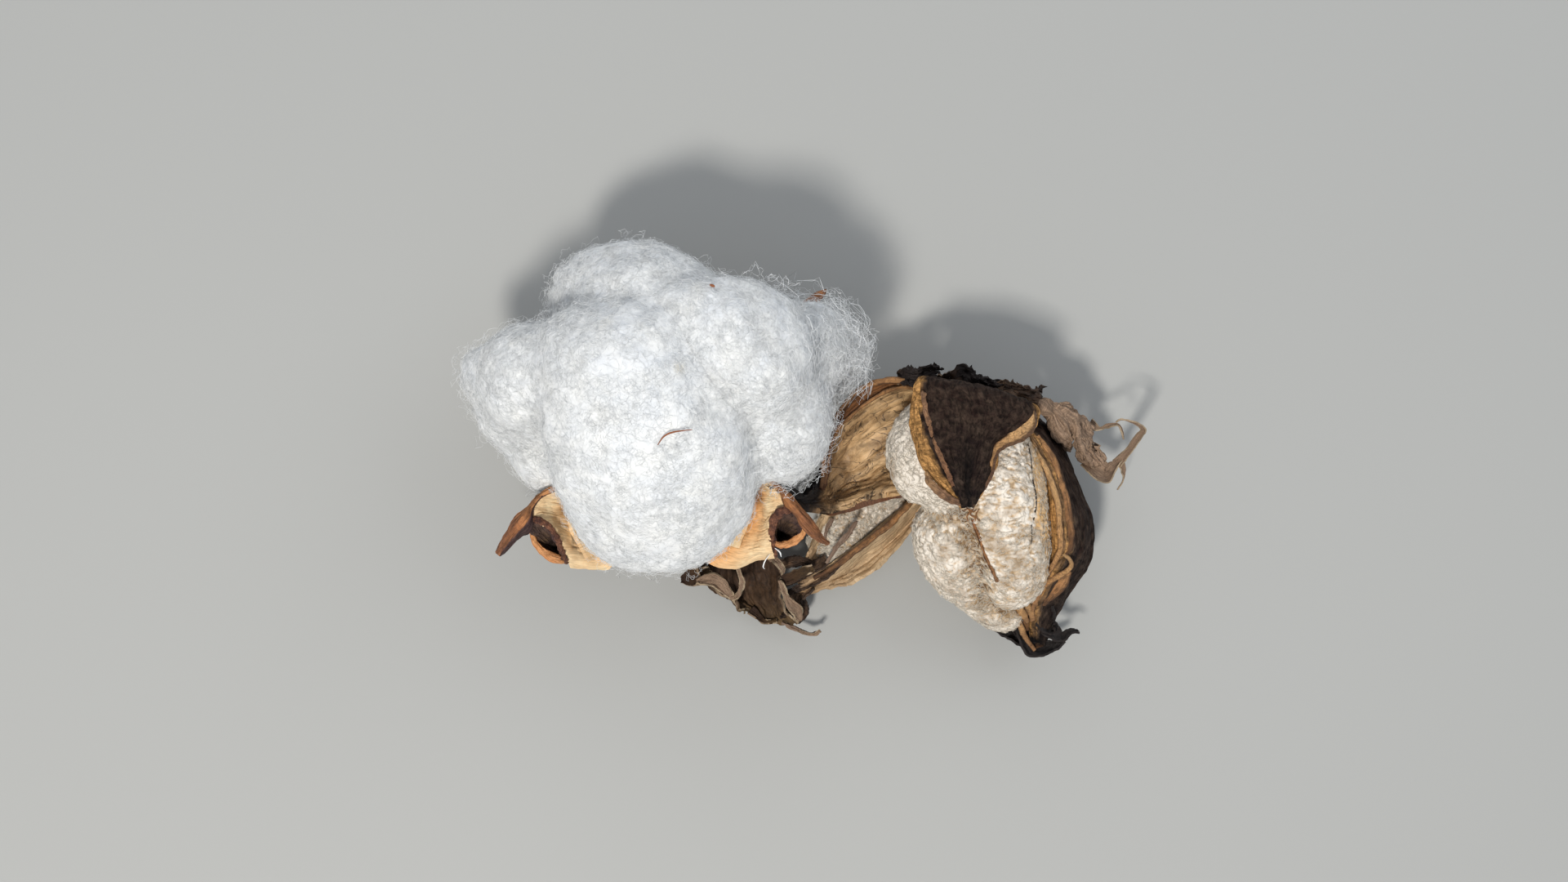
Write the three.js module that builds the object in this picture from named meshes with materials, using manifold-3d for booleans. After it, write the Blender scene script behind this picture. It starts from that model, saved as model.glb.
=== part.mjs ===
// Two cotton bolls as picked, lying side by side on a level surface.
// The first is fully open: four locks of loose white lint in a bur of four recurved valves.
// The second has dried shut: four matted locks held in a bur of four stiff, dark valves.
// Millimetres, +Z up. The bolls are laid out in plan first, and the whole group is then moved
// so that its origin is the middle of its footprint on the surface.

import * as THREE from "three";
import { mergeVertices } from "three/addons/utils/BufferGeometryUtils.js";
import Module from "manifold-3d";

const wasm = await Module();
wasm.setup();

// Driving dimensions
const GAP = 0.3; // between two pieces that touch
const SEAM = 0.7; // between two locks, whose faces are only roughly even
const FLOOR_REACH = 200; // half the side of the block that cuts the underside flat
const VALVE_WALL = 1.6;
const DRY_VALVE_WALL = 1.9;
const BRACT_WALL = 0.7;
const HORN_RADII = [1.1, 1.4, 1.0, 0.4];
const HORN_SIDES = 6;
const HORN_ROWS = 6;
const VALVE_GRID = { grid: [10, 12], edgeThinning: 0.15 }; // rows, columns, thinning at the edges
const BRACT_GRID = { grid: [6, 6], edgeThinning: 0 };
const ACROSS_STEPS = 16; // steps that a sheet's cross-section is summed in
const SLOPE_STEP = 0.01; // share of a curve that its heading is read over
const TEETH = 5; // along a bract's far edge
const TEETH_REACH = 0.9; // share of the half width that the teeth spread over
const TOOTH_ROOT = 0.9; // place along the bract that a tooth starts at
const TOOTH_RADII = [0.45, 0.45, 0.4, 0.25];
const TOOTH_SIDES = 3;
const TOOTH_ROWS = 4;
const TOOTH_SPREAD = 0.3; // how much longer than the last each tooth of three is
const LOCK_BLEND = 5 / 3; // how softly the swellings of a lock run together
const LOCK_SWELLINGS = 5; // swellings along each lock, one for each pair of seeds
const WHITE_LOCK_HEIGHT = 0.97; // a lock's height over its depth
const DRY_LOCK_HEIGHT = 1.1;
const WHITE_LOCK_DETAIL = 5; // how finely the ball that becomes a lock is divided
const DRY_LOCK_DETAIL = 4;
const RAY_STEP = 0.5; // first search for a lock's surface, out from its crown
const RAY_REACH = 60;
const RAY_HALVINGS = 12;
const SEAT_SIDES = 16;
const SEAT_CROWN = 0.4; // rise of the button's top
const MERGE = 1e-4; // vertices nearer than this are one
const TINY = 1e-6;

const COLOURS = {
  lint: 0xf4f3ef,
  valve: 0xd8b27a,
  dryValve: 0x4a3526,
  dryLock: 0xc9bda4,
  bract: 0x6b5137,
  stem: 0x6a5238,
};

// Value at u, from 0 to 1, of a smooth curve through evenly spaced stops, each a number or a point.
function glide(stops, u) {
  const last = stops.length - 1;
  const i = Math.min(Math.floor(u * last), last - 1);
  const t = u * last - i;
  const at = (k, c) => (c === null ? stops[k] : stops[k][c]);
  const value = (c) => {
    const p1 = at(i, c);
    const p2 = at(i + 1, c);
    const p0 = i > 0 ? at(i - 1, c) : 2 * p1 - p2;
    const p3 = i < last - 1 ? at(i + 2, c) : 2 * p2 - p1;
    const m1 = (p2 - p0) / 2;
    const m2 = (p3 - p1) / 2;
    const cubic = 2 * p1 - 2 * p2 + m1 + m2;
    return ((cubic * t + (3 * p2 - 3 * p1 - 2 * m1 - m2)) * t + m1) * t + p1;
  };
  if (typeof stops[0] === "number") return value(null);
  return new THREE.Vector3(value(0), value(1), value(2));
}

// A mesh's triangles as a closed solid, and a solid as a mesh's geometry.
function toSolid(geometry) {
  const bare = geometry.clone();
  bare.deleteAttribute("normal");
  bare.deleteAttribute("uv");
  const merged = mergeVertices(bare, MERGE);
  const mesh = new wasm.Mesh({
    numProp: 3,
    vertProperties: merged.attributes.position.array,
    triVerts: new Uint32Array(merged.index.array),
  });
  return new wasm.Manifold(mesh);
}

function toGeometry(solid) {
  const mesh = solid.getMesh();
  const geometry = new THREE.BufferGeometry();
  geometry.setAttribute("position", new THREE.BufferAttribute(mesh.vertProperties, 3));
  geometry.setIndex(new THREE.BufferAttribute(mesh.triVerts, 1));
  geometry.computeVertexNormals();
  return geometry;
}

// The largest of the bodies that a cut leaves, so that no loose scrap stays.
function largest(solid) {
  const bodies = solid.decompose();
  return bodies.reduce((best, body) => (body.volume() > best.volume() ? body : best));
}

function cutBy(solid, cutters) {
  return largest(cutters.reduce((rest, cutter) => rest.subtract(cutter), solid));
}

// Point on a curved leaf-like sheet. Its spine runs from base to tip, and its inner side looks
// towards the point `face`. Each half leaves the spine sideways, and `bend` gives the angle that
// it heads at, in degrees up from flat, at even steps from the spine to its edge.
function sheetPoint(form, u, v) {
  const here = glide(form.spine, u);
  const ahead = glide(form.spine, Math.min(u + SLOPE_STEP, 1));
  const behind = glide(form.spine, Math.max(u - SLOPE_STEP, 0));
  const along = ahead.sub(behind).normalize();
  const inward = new THREE.Vector3(...form.face).sub(here);
  inward.addScaledVector(along, -inward.dot(along)).normalize();
  const side = new THREE.Vector3().crossVectors(along, inward);
  const half = v < 0 ? form.near : form.far;
  const width = glide(half.width, u);
  const stations = half.bend[0].length;
  const bend = Array.from({ length: stations }, (_, k) => glide(half.bend.map((b) => b[k]), u));
  let across = 0;
  let lift = 0;
  for (let k = 0; k < ACROSS_STEPS; k++) {
    const heading = (glide(bend, (Math.abs(v) * (k + 0.5)) / ACROSS_STEPS) * Math.PI) / 180;
    across += (Math.cos(heading) * width * Math.abs(v)) / ACROSS_STEPS;
    lift += (Math.sin(heading) * width * Math.abs(v)) / ACROSS_STEPS;
  }
  return here.addScaledVector(side, Math.sign(v) * across).addScaledVector(inward, lift);
}

// Closed shell of the sheet: its two faces a wall apart, joined round the edge. `grow` is a
// clearance added all round, for the copy of a piece that its neighbours are cut with.
function shell(form, wall, grow = 0) {
  const [rows, columns] = form.grid;
  const points = [];
  for (let i = 0; i <= rows; i++) {
    for (let j = 0; j <= columns; j++) points.push(sheetPoint(form, i / rows, (2 * j) / columns - 1));
  }
  const at = (i, j) => points[i * (columns + 1) + j];
  const pushOut = (end, before) => end.addScaledVector(end.clone().sub(before).normalize(), grow);
  for (let i = 0; i <= rows; i++) {
    pushOut(at(i, 0), at(i, 1));
    pushOut(at(i, columns), at(i, columns - 1));
  }
  for (let j = 0; j <= columns; j++) {
    pushOut(at(0, j), at(1, j));
    pushOut(at(rows, j), at(rows - 1, j));
  }
  const half = wall / 2 + grow;
  const inner = [];
  const outer = [];
  for (let i = 0; i <= rows; i++) {
    for (let j = 0; j <= columns; j++) {
      const du = at(Math.min(i + 1, rows), j).clone().sub(at(Math.max(i - 1, 0), j));
      const dv = at(i, Math.min(j + 1, columns)).clone().sub(at(i, Math.max(j - 1, 0)));
      const normal = new THREE.Vector3().crossVectors(dv, du).normalize();
      const edge = 1 - form.edgeThinning * Math.abs((2 * j) / columns - 1) ** 2;
      inner.push(at(i, j).clone().addScaledVector(normal, half * edge));
      outer.push(at(i, j).clone().addScaledVector(normal, -half * edge));
    }
  }
  const count = inner.length;
  const faces = [];
  const quad = (a, b, c, d) => faces.push(a, b, c, a, c, d);
  for (let i = 0; i < rows; i++) {
    for (let j = 0; j < columns; j++) {
      const a = i * (columns + 1) + j;
      const b = a + columns + 1;
      quad(a, a + 1, b + 1, b);
      quad(count + a, count + b, count + b + 1, count + a + 1);
    }
  }
  for (let i = 0; i < rows; i++) {
    const a = i * (columns + 1);
    const b = a + columns + 1;
    quad(a, b, count + b, count + a);
    quad(a + columns, count + a + columns, count + b + columns, b + columns);
  }
  const end = rows * (columns + 1);
  for (let j = 0; j < columns; j++) {
    quad(j, count + j, count + j + 1, j + 1);
    quad(end + j, end + j + 1, count + end + j + 1, count + end + j);
  }
  const geometry = new THREE.BufferGeometry();
  const flat = [...inner, ...outer].flatMap((p) => [p.x, p.y, p.z]);
  geometry.setAttribute("position", new THREE.Float32BufferAttribute(flat, 3));
  geometry.setIndex(faces);
  return toSolid(geometry);
}

// Tapered round bar along a smooth curve, closed at both ends: a horn, a tooth or a stub.
function taper(stops, radii, sides, rows, grow) {
  const positions = [];
  const faces = [];
  let side = new THREE.Vector3(0, 0, 1);
  for (let i = 0; i <= rows; i++) {
    const u = i / rows;
    const centre = glide(stops, u);
    const ahead = glide(stops, Math.min(u + 2 * SLOPE_STEP, 1));
    const along = ahead.sub(glide(stops, Math.max(u - 2 * SLOPE_STEP, 0))).normalize();
    side = side.clone().addScaledVector(along, -side.dot(along));
    if (side.lengthSq() < TINY) side.set(1, 0, 0).addScaledVector(along, -along.x);
    side.normalize();
    const other = new THREE.Vector3().crossVectors(along, side);
    const radius = glide(radii, u) + grow;
    for (let k = 0; k < sides; k++) {
      const turn = (2 * Math.PI * k) / sides;
      const p = centre.clone().addScaledVector(side, radius * Math.cos(turn));
      p.addScaledVector(other, radius * Math.sin(turn));
      positions.push(p.x, p.y, p.z);
    }
  }
  for (let i = 0; i < rows; i++) {
    for (let k = 0; k < sides; k++) {
      const a = i * sides + k;
      const b = i * sides + ((k + 1) % sides);
      faces.push(a, b, b + sides, a, b + sides, a + sides);
    }
  }
  for (let k = 1; k < sides - 1; k++) {
    faces.push(0, k + 1, k);
    faces.push(rows * sides, rows * sides + k, rows * sides + k + 1);
  }
  const geometry = new THREE.BufferGeometry();
  geometry.setAttribute("position", new THREE.Float32BufferAttribute(positions, 3));
  geometry.setIndex(faces);
  return toSolid(geometry);
}

// A half of a valve or bract: its width, and its bend, each at even stations from base to tip.
const half = (width, bend) => ({ width, bend });

// Halves that more than one valve has
const TUCKED = half(
  [3, 6, 6.5, 3],
  [[-50, -30, 0, 10], [-80, -70, -50, -30], [-90, -85, -70, -60], [-90, -90, -80, -80]],
);
const SPREAD = half(
  [3, 9, 10, 3],
  [[-20, 10, 30, 40], [-40, 10, 30, 20], [-30, 0, -30, -80], [-20, -30, -80, -130]],
);

// The open boll's bur. The two valves in front have rolled back into a scroll beside their horn.
const OPEN_BUR = {
  valve_lower_left: {
    spine: [[-24, -3.5, 12], [-30.5, -5.5, 17.5], [-36.5, -8.5, 22.5], [-41, -12.3, 25.5]],
    face: [-24, -2, 50],
    near: half(
      [4, 13, 18, 18],
      [[-30, 0, 20, 30], [-60, -20, 20, 10], [-50, 0, 10, -130], [40, 0, -110, -220]],
    ),
    far: TUCKED,
    horn: [[-38.5, -10.3, 23.5], [-42.5, -13.6, 25.6], [-45, -16, 23.8], [-46.1, -18.2, 20.5]],
  },
  valve_lower_right: {
    spine: [[-16.7, -3.5, 12], [-9.5, -4.2, 15], [-4.2, -5.8, 19.5], [-0.6, -10.8, 26]],
    face: [-20, -2, 50],
    near: TUCKED,
    far: half(
      [4, 13, 19, 16],
      [[-30, 0, 20, 30], [-60, -20, 20, 10], [-40, 0, 0, -120], [30, -40, -130, -230]],
    ),
    horn: [[-2.2, -8.2, 22.8], [1.4, -11, 25.6], [4.6, -13.8, 24], [7, -16.6, 20.5]],
  },
  valve_upper_right: {
    spine: [[-17, 2.2, 11.5], [-10, 8.5, 10], [-2.8, 16, 11.5], [2.4, 21, 13.5]],
    face: [-22, 0, 50],
    near: SPREAD,
    far: SPREAD,
    horn: [[-1.5, 17, 13.5], [2.8, 21.3, 15.5], [5.2, 23.6, 15], [7, 25.3, 12.5]],
  },
  valve_upper_left: {
    spine: [[-23.6, 2.2, 11.5], [-28.5, 6.5, 10], [-32.5, 11.5, 11.5], [-35.5, 16, 13.5]],
    face: [-22, 0, 50],
    near: SPREAD,
    far: SPREAD,
    horn: [[-33, 12.5, 13.5], [-35.6, 16, 15.5], [-37.1, 18.3, 15], [-38, 20, 12.5]],
  },
};

// The dried boll's bur: stiff boats that open only a little, or not at all.
const HULL = [[10, 20, 40, 60], [0, 20, 50, 70], [0, 20, 50, 60], [0, 20, 30, 30]];
const FLAT_HULL = [[10, 10, 20, 30], [0, 10, 30, 50], [0, 10, 30, 40], [0, 10, 20, 20]];
const ROOF = [[0, 20, 40, 60], [0, 20, 40, 50], [-10, 10, 25, 30], [0, 0, 0, 0]];
const DRY_BUR = {
  dry_valve_upper: {
    spine: [[31.5, 7.5, 12], [31.8, 8.5, 23], [31, 3, 31.5], [28.8, -9, 30]],
    face: [31, -8, 12],
    near: half([7, 11, 10, 1.2], ROOF),
    far: half([7, 10.5, 10, 1.2], ROOF),
  },
  dry_valve_left: {
    spine: [[27.5, 3.5, 8.5], [20, 2, 4.5], [11.5, -2, 6], [4.5, -7.5, 13]],
    face: [24, -6, 45],
    near: half([4, 11.5, 11.5, 2], HULL),
    far: half([4, 10.5, 10.5, 2], HULL),
    horn: [[7, -5.5, 11], [4.5, -7.8, 14], [3, -8.8, 17], [1.6, -8.2, 19]],
  },
  dry_valve_lower_left: {
    spine: [[28.5, 0, 6.5], [21.5, -8.5, 1.6], [14, -17, 0.7], [7.5, -23, 4]],
    face: [19, -8, 45],
    near: half([3, 8, 8.5, 2], FLAT_HULL),
    far: half([3, 8, 8.5, 2], FLAT_HULL),
    horn: [[11, -19.5, 3], [7.5, -23.5, 5.5], [5.5, -25.2, 7], [4.4, -27, 6]],
  },
  dry_valve_right: {
    spine: [[35.5, 2, 8], [46.5, -2.5, 10], [50, -16, 12], [44.5, -30.5, 9]],
    face: [34, -15, 17],
    near: half([4, 12, 13.5, 3], HULL),
    far: half([4, 10, 10, 3], HULL),
    horn: [[45, -27, 10], [44.6, -31.5, 9.5], [46.8, -33, 11], [50, -32.4, 12]],
  },
};

// Dried bracts: thin, broad, and toothed along the far edge.
const CUPPED = [[0, 10, 20, 30], [0, 10, 20, 30], [0, 10, 30, 50], [0, 20, 50, 80]];
const OPEN_BRACTS = {
  bract_front: {
    spine: [[-18.7, -4, 8.2], [-12, -11, 2.4], [-6.5, -18, 0.2], [-3, -26.5, 3]],
    face: [-14, -12, 60],
    near: half([2.5, 8, 9.5, 6.5], CUPPED),
    far: half([2.5, 8, 9.5, 8], CUPPED),
    tooth: 2.2,
  },
  bract_left: {
    spine: [[-23.2, -1.8, 9.3], [-31, -2, 1.6], [-36.5, -2, 0.2], [-41, -1.5, 3]],
    face: [-32, -2, 60],
    near: half([2.5, 7, 9, 6], CUPPED),
    far: half([2.5, 7, 9, 6], CUPPED),
    tooth: 2.2,
  },
  bract_back: {
    spine: [[-20.1, 1.5, 8], [-19, 10, 1.6], [-17.5, 17, 0.2], [-16.5, 23, 3.5]],
    face: [-18, 10, 60],
    near: half([2.5, 7, 9, 6], CUPPED),
    far: half([2.5, 7, 9, 6], CUPPED),
    tooth: 4,
  },
};

const DRY_BRACTS = {
  dry_bract_right: {
    spine: [[34.5, 5.5, 4.5], [40, 5.5, 0.6], [46.5, 1.5, 1.4], [52.5, -5, 6]],
    face: [40, 0, 60],
    near: half([2.5, 5, 5.5, 3], CUPPED),
    far: half([2.5, 4.5, 4.5, 2], CUPPED),
    tooth: 3,
  },
  dry_bract_top: {
    spine: [[31.5, 7.5, 5], [31.5, 10.4, 5], [31.3, 11.4, 10], [31, 10.8, 15.5]],
    face: [31, -20, 30],
    near: half([3, 9, 10, 8], CUPPED),
    far: half([3, 8, 10, 7], CUPPED),
    tooth: 1.5,
  },
  dry_bract_under: {
    spine: [[28.5, 1.5, 4.5], [22, -2.5, 1.2], [14, -7.5, 0.2], [9, -11.5, 2.5]],
    face: [20, -5, 60],
    near: half([2.5, 6, 7, 4], CUPPED),
    far: half([2.5, 6, 7, 4], CUPPED),
    tooth: 2,
  },
};

// Locks: a chain of swellings from the boll's middle, over its crown, to its outer end.
// `depth` is the half depth at those places, and `breadth` widens it sideways.
const OPEN_LOCKS = {
  lock_front: {
    chain: [[-20.6, 11.3, 39], [-19.8, 0.5, 37], [-19.9, -9, 27]],
    depth: [11, 13.5, 13],
    breadth: 1.22,
    crown: [-19.8, 0.5, 35],
  },
  lock_right: {
    chain: [[-14.5, 16.5, 37.5], [-6.2, 14.2, 36], [-2.4, 4.7, 27], [4, 16, 25]],
    depth: [7.6, 12, 11.3, 7.4],
    breadth: 1.0,
    crown: [-4.5, 11, 31],
  },
  lock_top: {
    chain: [[-14, 17.6, 33], [-21.8, 22.5, 31], [-31, 23.2, 25]],
    depth: [8, 8.8, 7.2],
    breadth: 1.0,
    crown: [-22, 21, 30],
  },
  lock_left: {
    chain: [[-30, 12.5, 37], [-40, 10, 31], [-48, 10.8, 25], [-43.4, 4.2, 24], [-37.5, -2, 22]],
    depth: [8.5, 9, 4.8, 6.4, 7],
    breadth: 1.0,
    crown: [-38, 7, 29],
  },
};

const DRY_LOCKS = {
  dry_lock_left: {
    chain: [[23.3, 4, 18], [22.4, -3, 20], [27.2, -12.6, 21]],
    depth: [4.5, 5.8, 3],
    breadth: 1.0,
    crown: [22.8, -3, 20],
  },
  dry_lock_lower: {
    chain: [[27, -11.5, 19], [30.4, -18.9, 16], [37, -28.5, 10]],
    depth: [5, 6.7, 3.6],
    breadth: 1.0,
    crown: [30.4, -18.9, 16],
  },
  dry_lock_right: {
    chain: [[37, 0, 22], [35, -10.5, 22.5], [37.5, -22.5, 17.5]],
    depth: [5.5, 8.6, 6.5],
    breadth: 1.0,
    crown: [35, -10.5, 22],
  },
  dry_lock_stuck: {
    chain: [[18.6, -9.8, 7.8], [12, -14.6, 7], [7.2, -19.5, 6]],
    depth: [2.6, 3.6, 2.4],
    breadth: 1.0,
    crown: [12.6, -14.3, 7],
  },
};

// Signed depth of a point in a lock: below zero inside it. The swellings run together softly.
function lockDepth(lock, height) {
  const swellings = [];
  for (let i = 0; i < LOCK_SWELLINGS; i++) {
    const t = i / (LOCK_SWELLINGS - 1);
    swellings.push({ centre: glide(lock.chain, t), radius: glide(lock.depth, t) });
  }
  const from = new THREE.Vector3(...lock.chain[0]);
  const across = new THREE.Vector3(...lock.chain.at(-1)).sub(from).setZ(0).normalize();
  across.set(-across.y, across.x, 0);
  return (p) => {
    let sum = 0;
    for (const { centre, radius } of swellings) {
      const offset = p.clone().sub(centre);
      const sideways = offset.dot(across);
      offset.addScaledVector(across, sideways / lock.breadth - sideways);
      offset.z /= height;
      sum += Math.exp(-(offset.length() - radius) / LOCK_BLEND);
    }
    return -Math.log(sum) * LOCK_BLEND;
  };
}

// One lock as a closed solid: each vertex of a ball runs out from the lock's crown until it
// leaves the lock, or comes nearer to the heart of a neighbour.
function lockSolid(name, depths, crown, detail) {
  const own = depths[name];
  const others = Object.keys(depths).filter((k) => k !== name).map((k) => depths[k]);
  const outside = (p) => {
    const d = own(p);
    return d > 0 || others.some((other) => d > other(p) - SEAM);
  };
  const ball = new THREE.IcosahedronGeometry(1, detail);
  ball.deleteAttribute("normal");
  ball.deleteAttribute("uv");
  const merged = mergeVertices(ball, MERGE);
  const place = merged.attributes.position;
  const direction = new THREE.Vector3();
  const centre = new THREE.Vector3(...crown);
  const probe = new THREE.Vector3();
  for (let i = 0; i < place.count; i++) {
    direction.fromBufferAttribute(place, i).normalize();
    let high = RAY_STEP;
    while (high < RAY_REACH && !outside(probe.copy(centre).addScaledVector(direction, high))) {
      high += RAY_STEP;
    }
    let low = high - RAY_STEP;
    for (let n = 0; n < RAY_HALVINGS; n++) {
      const middle = (low + high) / 2;
      if (outside(probe.copy(centre).addScaledVector(direction, middle))) high = middle;
      else low = middle;
    }
    place.setXYZ(i, ...probe.copy(centre).addScaledVector(direction, low).toArray());
  }
  return toSolid(merged);
}

// The seat of a boll: the button that carries its valves and bracts, and the cut stalk under it.
function seat({ button, height, stalk, length }, place, lean, grow = 0) {
  const outline = [
    [0, -length - grow],
    [stalk + grow, -length - grow],
    [stalk + grow, -height],
    [button + grow, -height / 2 - grow],
    [button + grow, height / 2 + grow],
    [0, height / 2 + grow + SEAT_CROWN],
  ];
  const profile = outline.map((p) => new THREE.Vector2(...p));
  const lathe = new THREE.LatheGeometry(profile, SEAT_SIDES);
  lathe.rotateX(Math.PI / 2);
  const turn = new THREE.Quaternion().setFromUnitVectors(new THREE.Vector3(0, 0, 1), lean);
  lathe.applyQuaternion(turn);
  lathe.translate(...place);
  return toSolid(lathe);
}

const OPEN_SEAT = { button: 4.2, height: 4, stalk: 1.9, length: 11.2 };
const OPEN_PLACE = [-20.3, -0.8, 12];
const OPEN_LEAN = new THREE.Vector3(0, 0.34, 0.94).normalize();
const DRY_SEAT = { button: 3.6, height: 3.6, stalk: 1.7, length: 10 };
const DRY_PLACE = [31.5, 2.2, 8.5];
const DRY_LEAN = new THREE.Vector3(0, -0.66, 0.75).normalize();

// Groups of pieces, each cut clear of all that were made before it
const under = new THREE.BoxGeometry(2 * FLOOR_REACH, 2 * FLOOR_REACH, FLOOR_REACH);
under.translate(0, 0, -FLOOR_REACH / 2);
const belowFloor = toSolid(under);
const made = [];
const cutters = [];

function keep(name, solid, cutter, colour, roughness) {
  const trimmed = cutBy(solid, [belowFloor, ...cutters]);
  made.push({ name, solid: trimmed, colour, roughness });
  if (cutter) cutters.push(cutter.add(trimmed));
}

function valveSolid(form, wall, grow = 0) {
  const body = shell(form, wall, grow);
  if (!form.horn) return body;
  return body.add(taper(form.horn, HORN_RADII, HORN_SIDES, HORN_ROWS, grow));
}

function bractSolid(form, grow = 0) {
  let body = shell(form, BRACT_WALL, grow);
  for (let i = 0; i < TEETH; i++) {
    const v = TEETH_REACH * ((2 * i) / (TEETH - 1) - 1);
    const root = sheetPoint(form, TOOTH_ROOT, v);
    const tip = sheetPoint(form, 1, v);
    const out = tip.clone().sub(root).normalize();
    const long = form.tooth * (1 + TOOTH_SPREAD * (i % 3));
    const mid = tip.clone().addScaledVector(out, long / 2);
    const end = tip.clone().addScaledVector(out, long).add(new THREE.Vector3(0, 0, long / 4));
    const stops = [root, tip, mid, end].map((p) => p.toArray());
    body = body.add(taper(stops, TOOTH_RADII, TOOTH_SIDES, TOOTH_ROWS, grow));
  }
  return body;
}

for (const [name, size, place, lean] of [
  ["seat", OPEN_SEAT, OPEN_PLACE, OPEN_LEAN],
  ["dry_seat", DRY_SEAT, DRY_PLACE, DRY_LEAN],
]) {
  keep(name, seat(size, place, lean), seat(size, place, lean, GAP), COLOURS.stem, 0.85);
}
for (const [bur, wall, colour] of [
  [OPEN_BUR, VALVE_WALL, COLOURS.valve],
  [DRY_BUR, DRY_VALVE_WALL, COLOURS.dryValve],
]) {
  for (const [name, form] of Object.entries(bur)) {
    Object.assign(form, VALVE_GRID);
    keep(name, valveSolid(form, wall), valveSolid(form, wall, GAP), colour, 0.6);
  }
}
for (const bracts of [OPEN_BRACTS, DRY_BRACTS]) {
  for (const [name, form] of Object.entries(bracts)) {
    Object.assign(form, BRACT_GRID);
    keep(name, bractSolid(form), bractSolid(form, GAP), COLOURS.bract, 0.8);
  }
}
for (const [locks, height, colour, detail] of [
  [OPEN_LOCKS, WHITE_LOCK_HEIGHT, COLOURS.lint, WHITE_LOCK_DETAIL],
  [DRY_LOCKS, DRY_LOCK_HEIGHT, COLOURS.dryLock, DRY_LOCK_DETAIL],
]) {
  const depths = {};
  for (const [name, lock] of Object.entries(locks)) depths[name] = lockDepth(lock, height);
  for (const [name, lock] of Object.entries(locks)) {
    keep(name, lockSolid(name, depths, lock.crown, detail), null, colour, 1);
  }
}

const bolls = new THREE.Group();
for (const { name, solid, colour, roughness } of made) {
  const material = new THREE.MeshStandardMaterial({ color: colour, roughness, metalness: 0 });
  const mesh = new THREE.Mesh(toGeometry(solid), material);
  mesh.name = name;
  bolls.add(mesh);
}
const bounds = new THREE.Box3().setFromObject(bolls);
const middle = bounds.getCenter(new THREE.Vector3());
bolls.position.set(-middle.x, -middle.y, -bounds.min.z);

export default bolls;
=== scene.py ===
"""Two cotton bolls as picked: an open one full of white lint, and one that has dried shut.

The bolls are laid out in a plan in millimetres, +X right, +Y up the picture and +Z towards the
camera, which looks straight down. Everything is built in that plan by the rules of the frame's
own solids, then moved onto the frame in metres.
"""
import logging
import math
from dataclasses import dataclass, field, replace
from enum import Enum
from typing import Callable, Sequence

import bpy
import numpy as np
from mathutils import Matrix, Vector, noise
from mathutils.bvhtree import BVHTree


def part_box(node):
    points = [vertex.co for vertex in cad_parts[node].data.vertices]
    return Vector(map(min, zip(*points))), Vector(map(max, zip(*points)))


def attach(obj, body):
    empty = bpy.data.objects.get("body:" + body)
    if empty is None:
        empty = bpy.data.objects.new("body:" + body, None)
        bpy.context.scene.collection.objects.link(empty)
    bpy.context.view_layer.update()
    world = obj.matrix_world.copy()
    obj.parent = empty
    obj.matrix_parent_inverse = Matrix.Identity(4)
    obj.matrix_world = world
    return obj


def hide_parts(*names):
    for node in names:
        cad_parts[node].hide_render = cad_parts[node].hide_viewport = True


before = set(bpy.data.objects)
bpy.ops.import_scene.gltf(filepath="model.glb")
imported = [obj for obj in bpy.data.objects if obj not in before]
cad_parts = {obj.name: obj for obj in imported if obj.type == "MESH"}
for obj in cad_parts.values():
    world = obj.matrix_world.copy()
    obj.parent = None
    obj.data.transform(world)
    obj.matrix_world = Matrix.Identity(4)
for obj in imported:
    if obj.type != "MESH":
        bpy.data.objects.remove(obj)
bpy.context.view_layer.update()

LOG = logging.getLogger("bolls")

Row = Sequence[float]  # for a curve laid out in a window: across, down and height, in turn
Stops = Sequence[Row]
Colour = tuple[float, float, float]
Coats = dict[str, bpy.types.Material]
Piece = bpy.types.Object

MM = 0.001
BODY = "root"
SEED = 26
ACROSS_STEPS = 16  # steps that a sheet's cross-section is summed in
HALVINGS = 9  # halvings of the step in which a ray leaves a lock
LOCK_SWELLINGS = 5  # swellings along each lock, one for each pair of seeds
LOCK_BLEND = 5.0 / 3.0  # how softly the swellings of a lock run together
SEAT_MIDDLE = (-20.3, -1.283)  # middle of the open boll's seat in the plan
EYE_HEIGHT = 325.0  # camera above the floor
LENS = 42.75
SENSOR = 36.0
VIEW_MIDDLE = (960.0, 540.0)  # middle of the picture
VIEW_DEPTH = 2280.0  # lens over sensor, times the picture's width
MOST_TRIANGLES = 180000  # in one piece of fibres


def frame_shift() -> np.ndarray:
    """Distance in metres from the plan to the frame, read off the open boll's seat.

    Returns:
        The shift as an array of three numbers.
    """
    low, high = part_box("seat")
    middle = [(low[k] + high[k]) / 2 for k in range(2)]
    return np.array([middle[0] - SEAT_MIDDLE[0] * MM, middle[1] - SEAT_MIDDLE[1] * MM, 0.0])


SHIFT = frame_shift()


def placed(points: np.ndarray) -> np.ndarray:
    """Plan millimetres as frame metres."""
    return np.asarray(points, float) * MM + SHIFT


def planned(points: np.ndarray) -> np.ndarray:
    """Frame metres as plan millimetres."""
    return (np.asarray(points, float) - SHIFT) / MM


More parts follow.
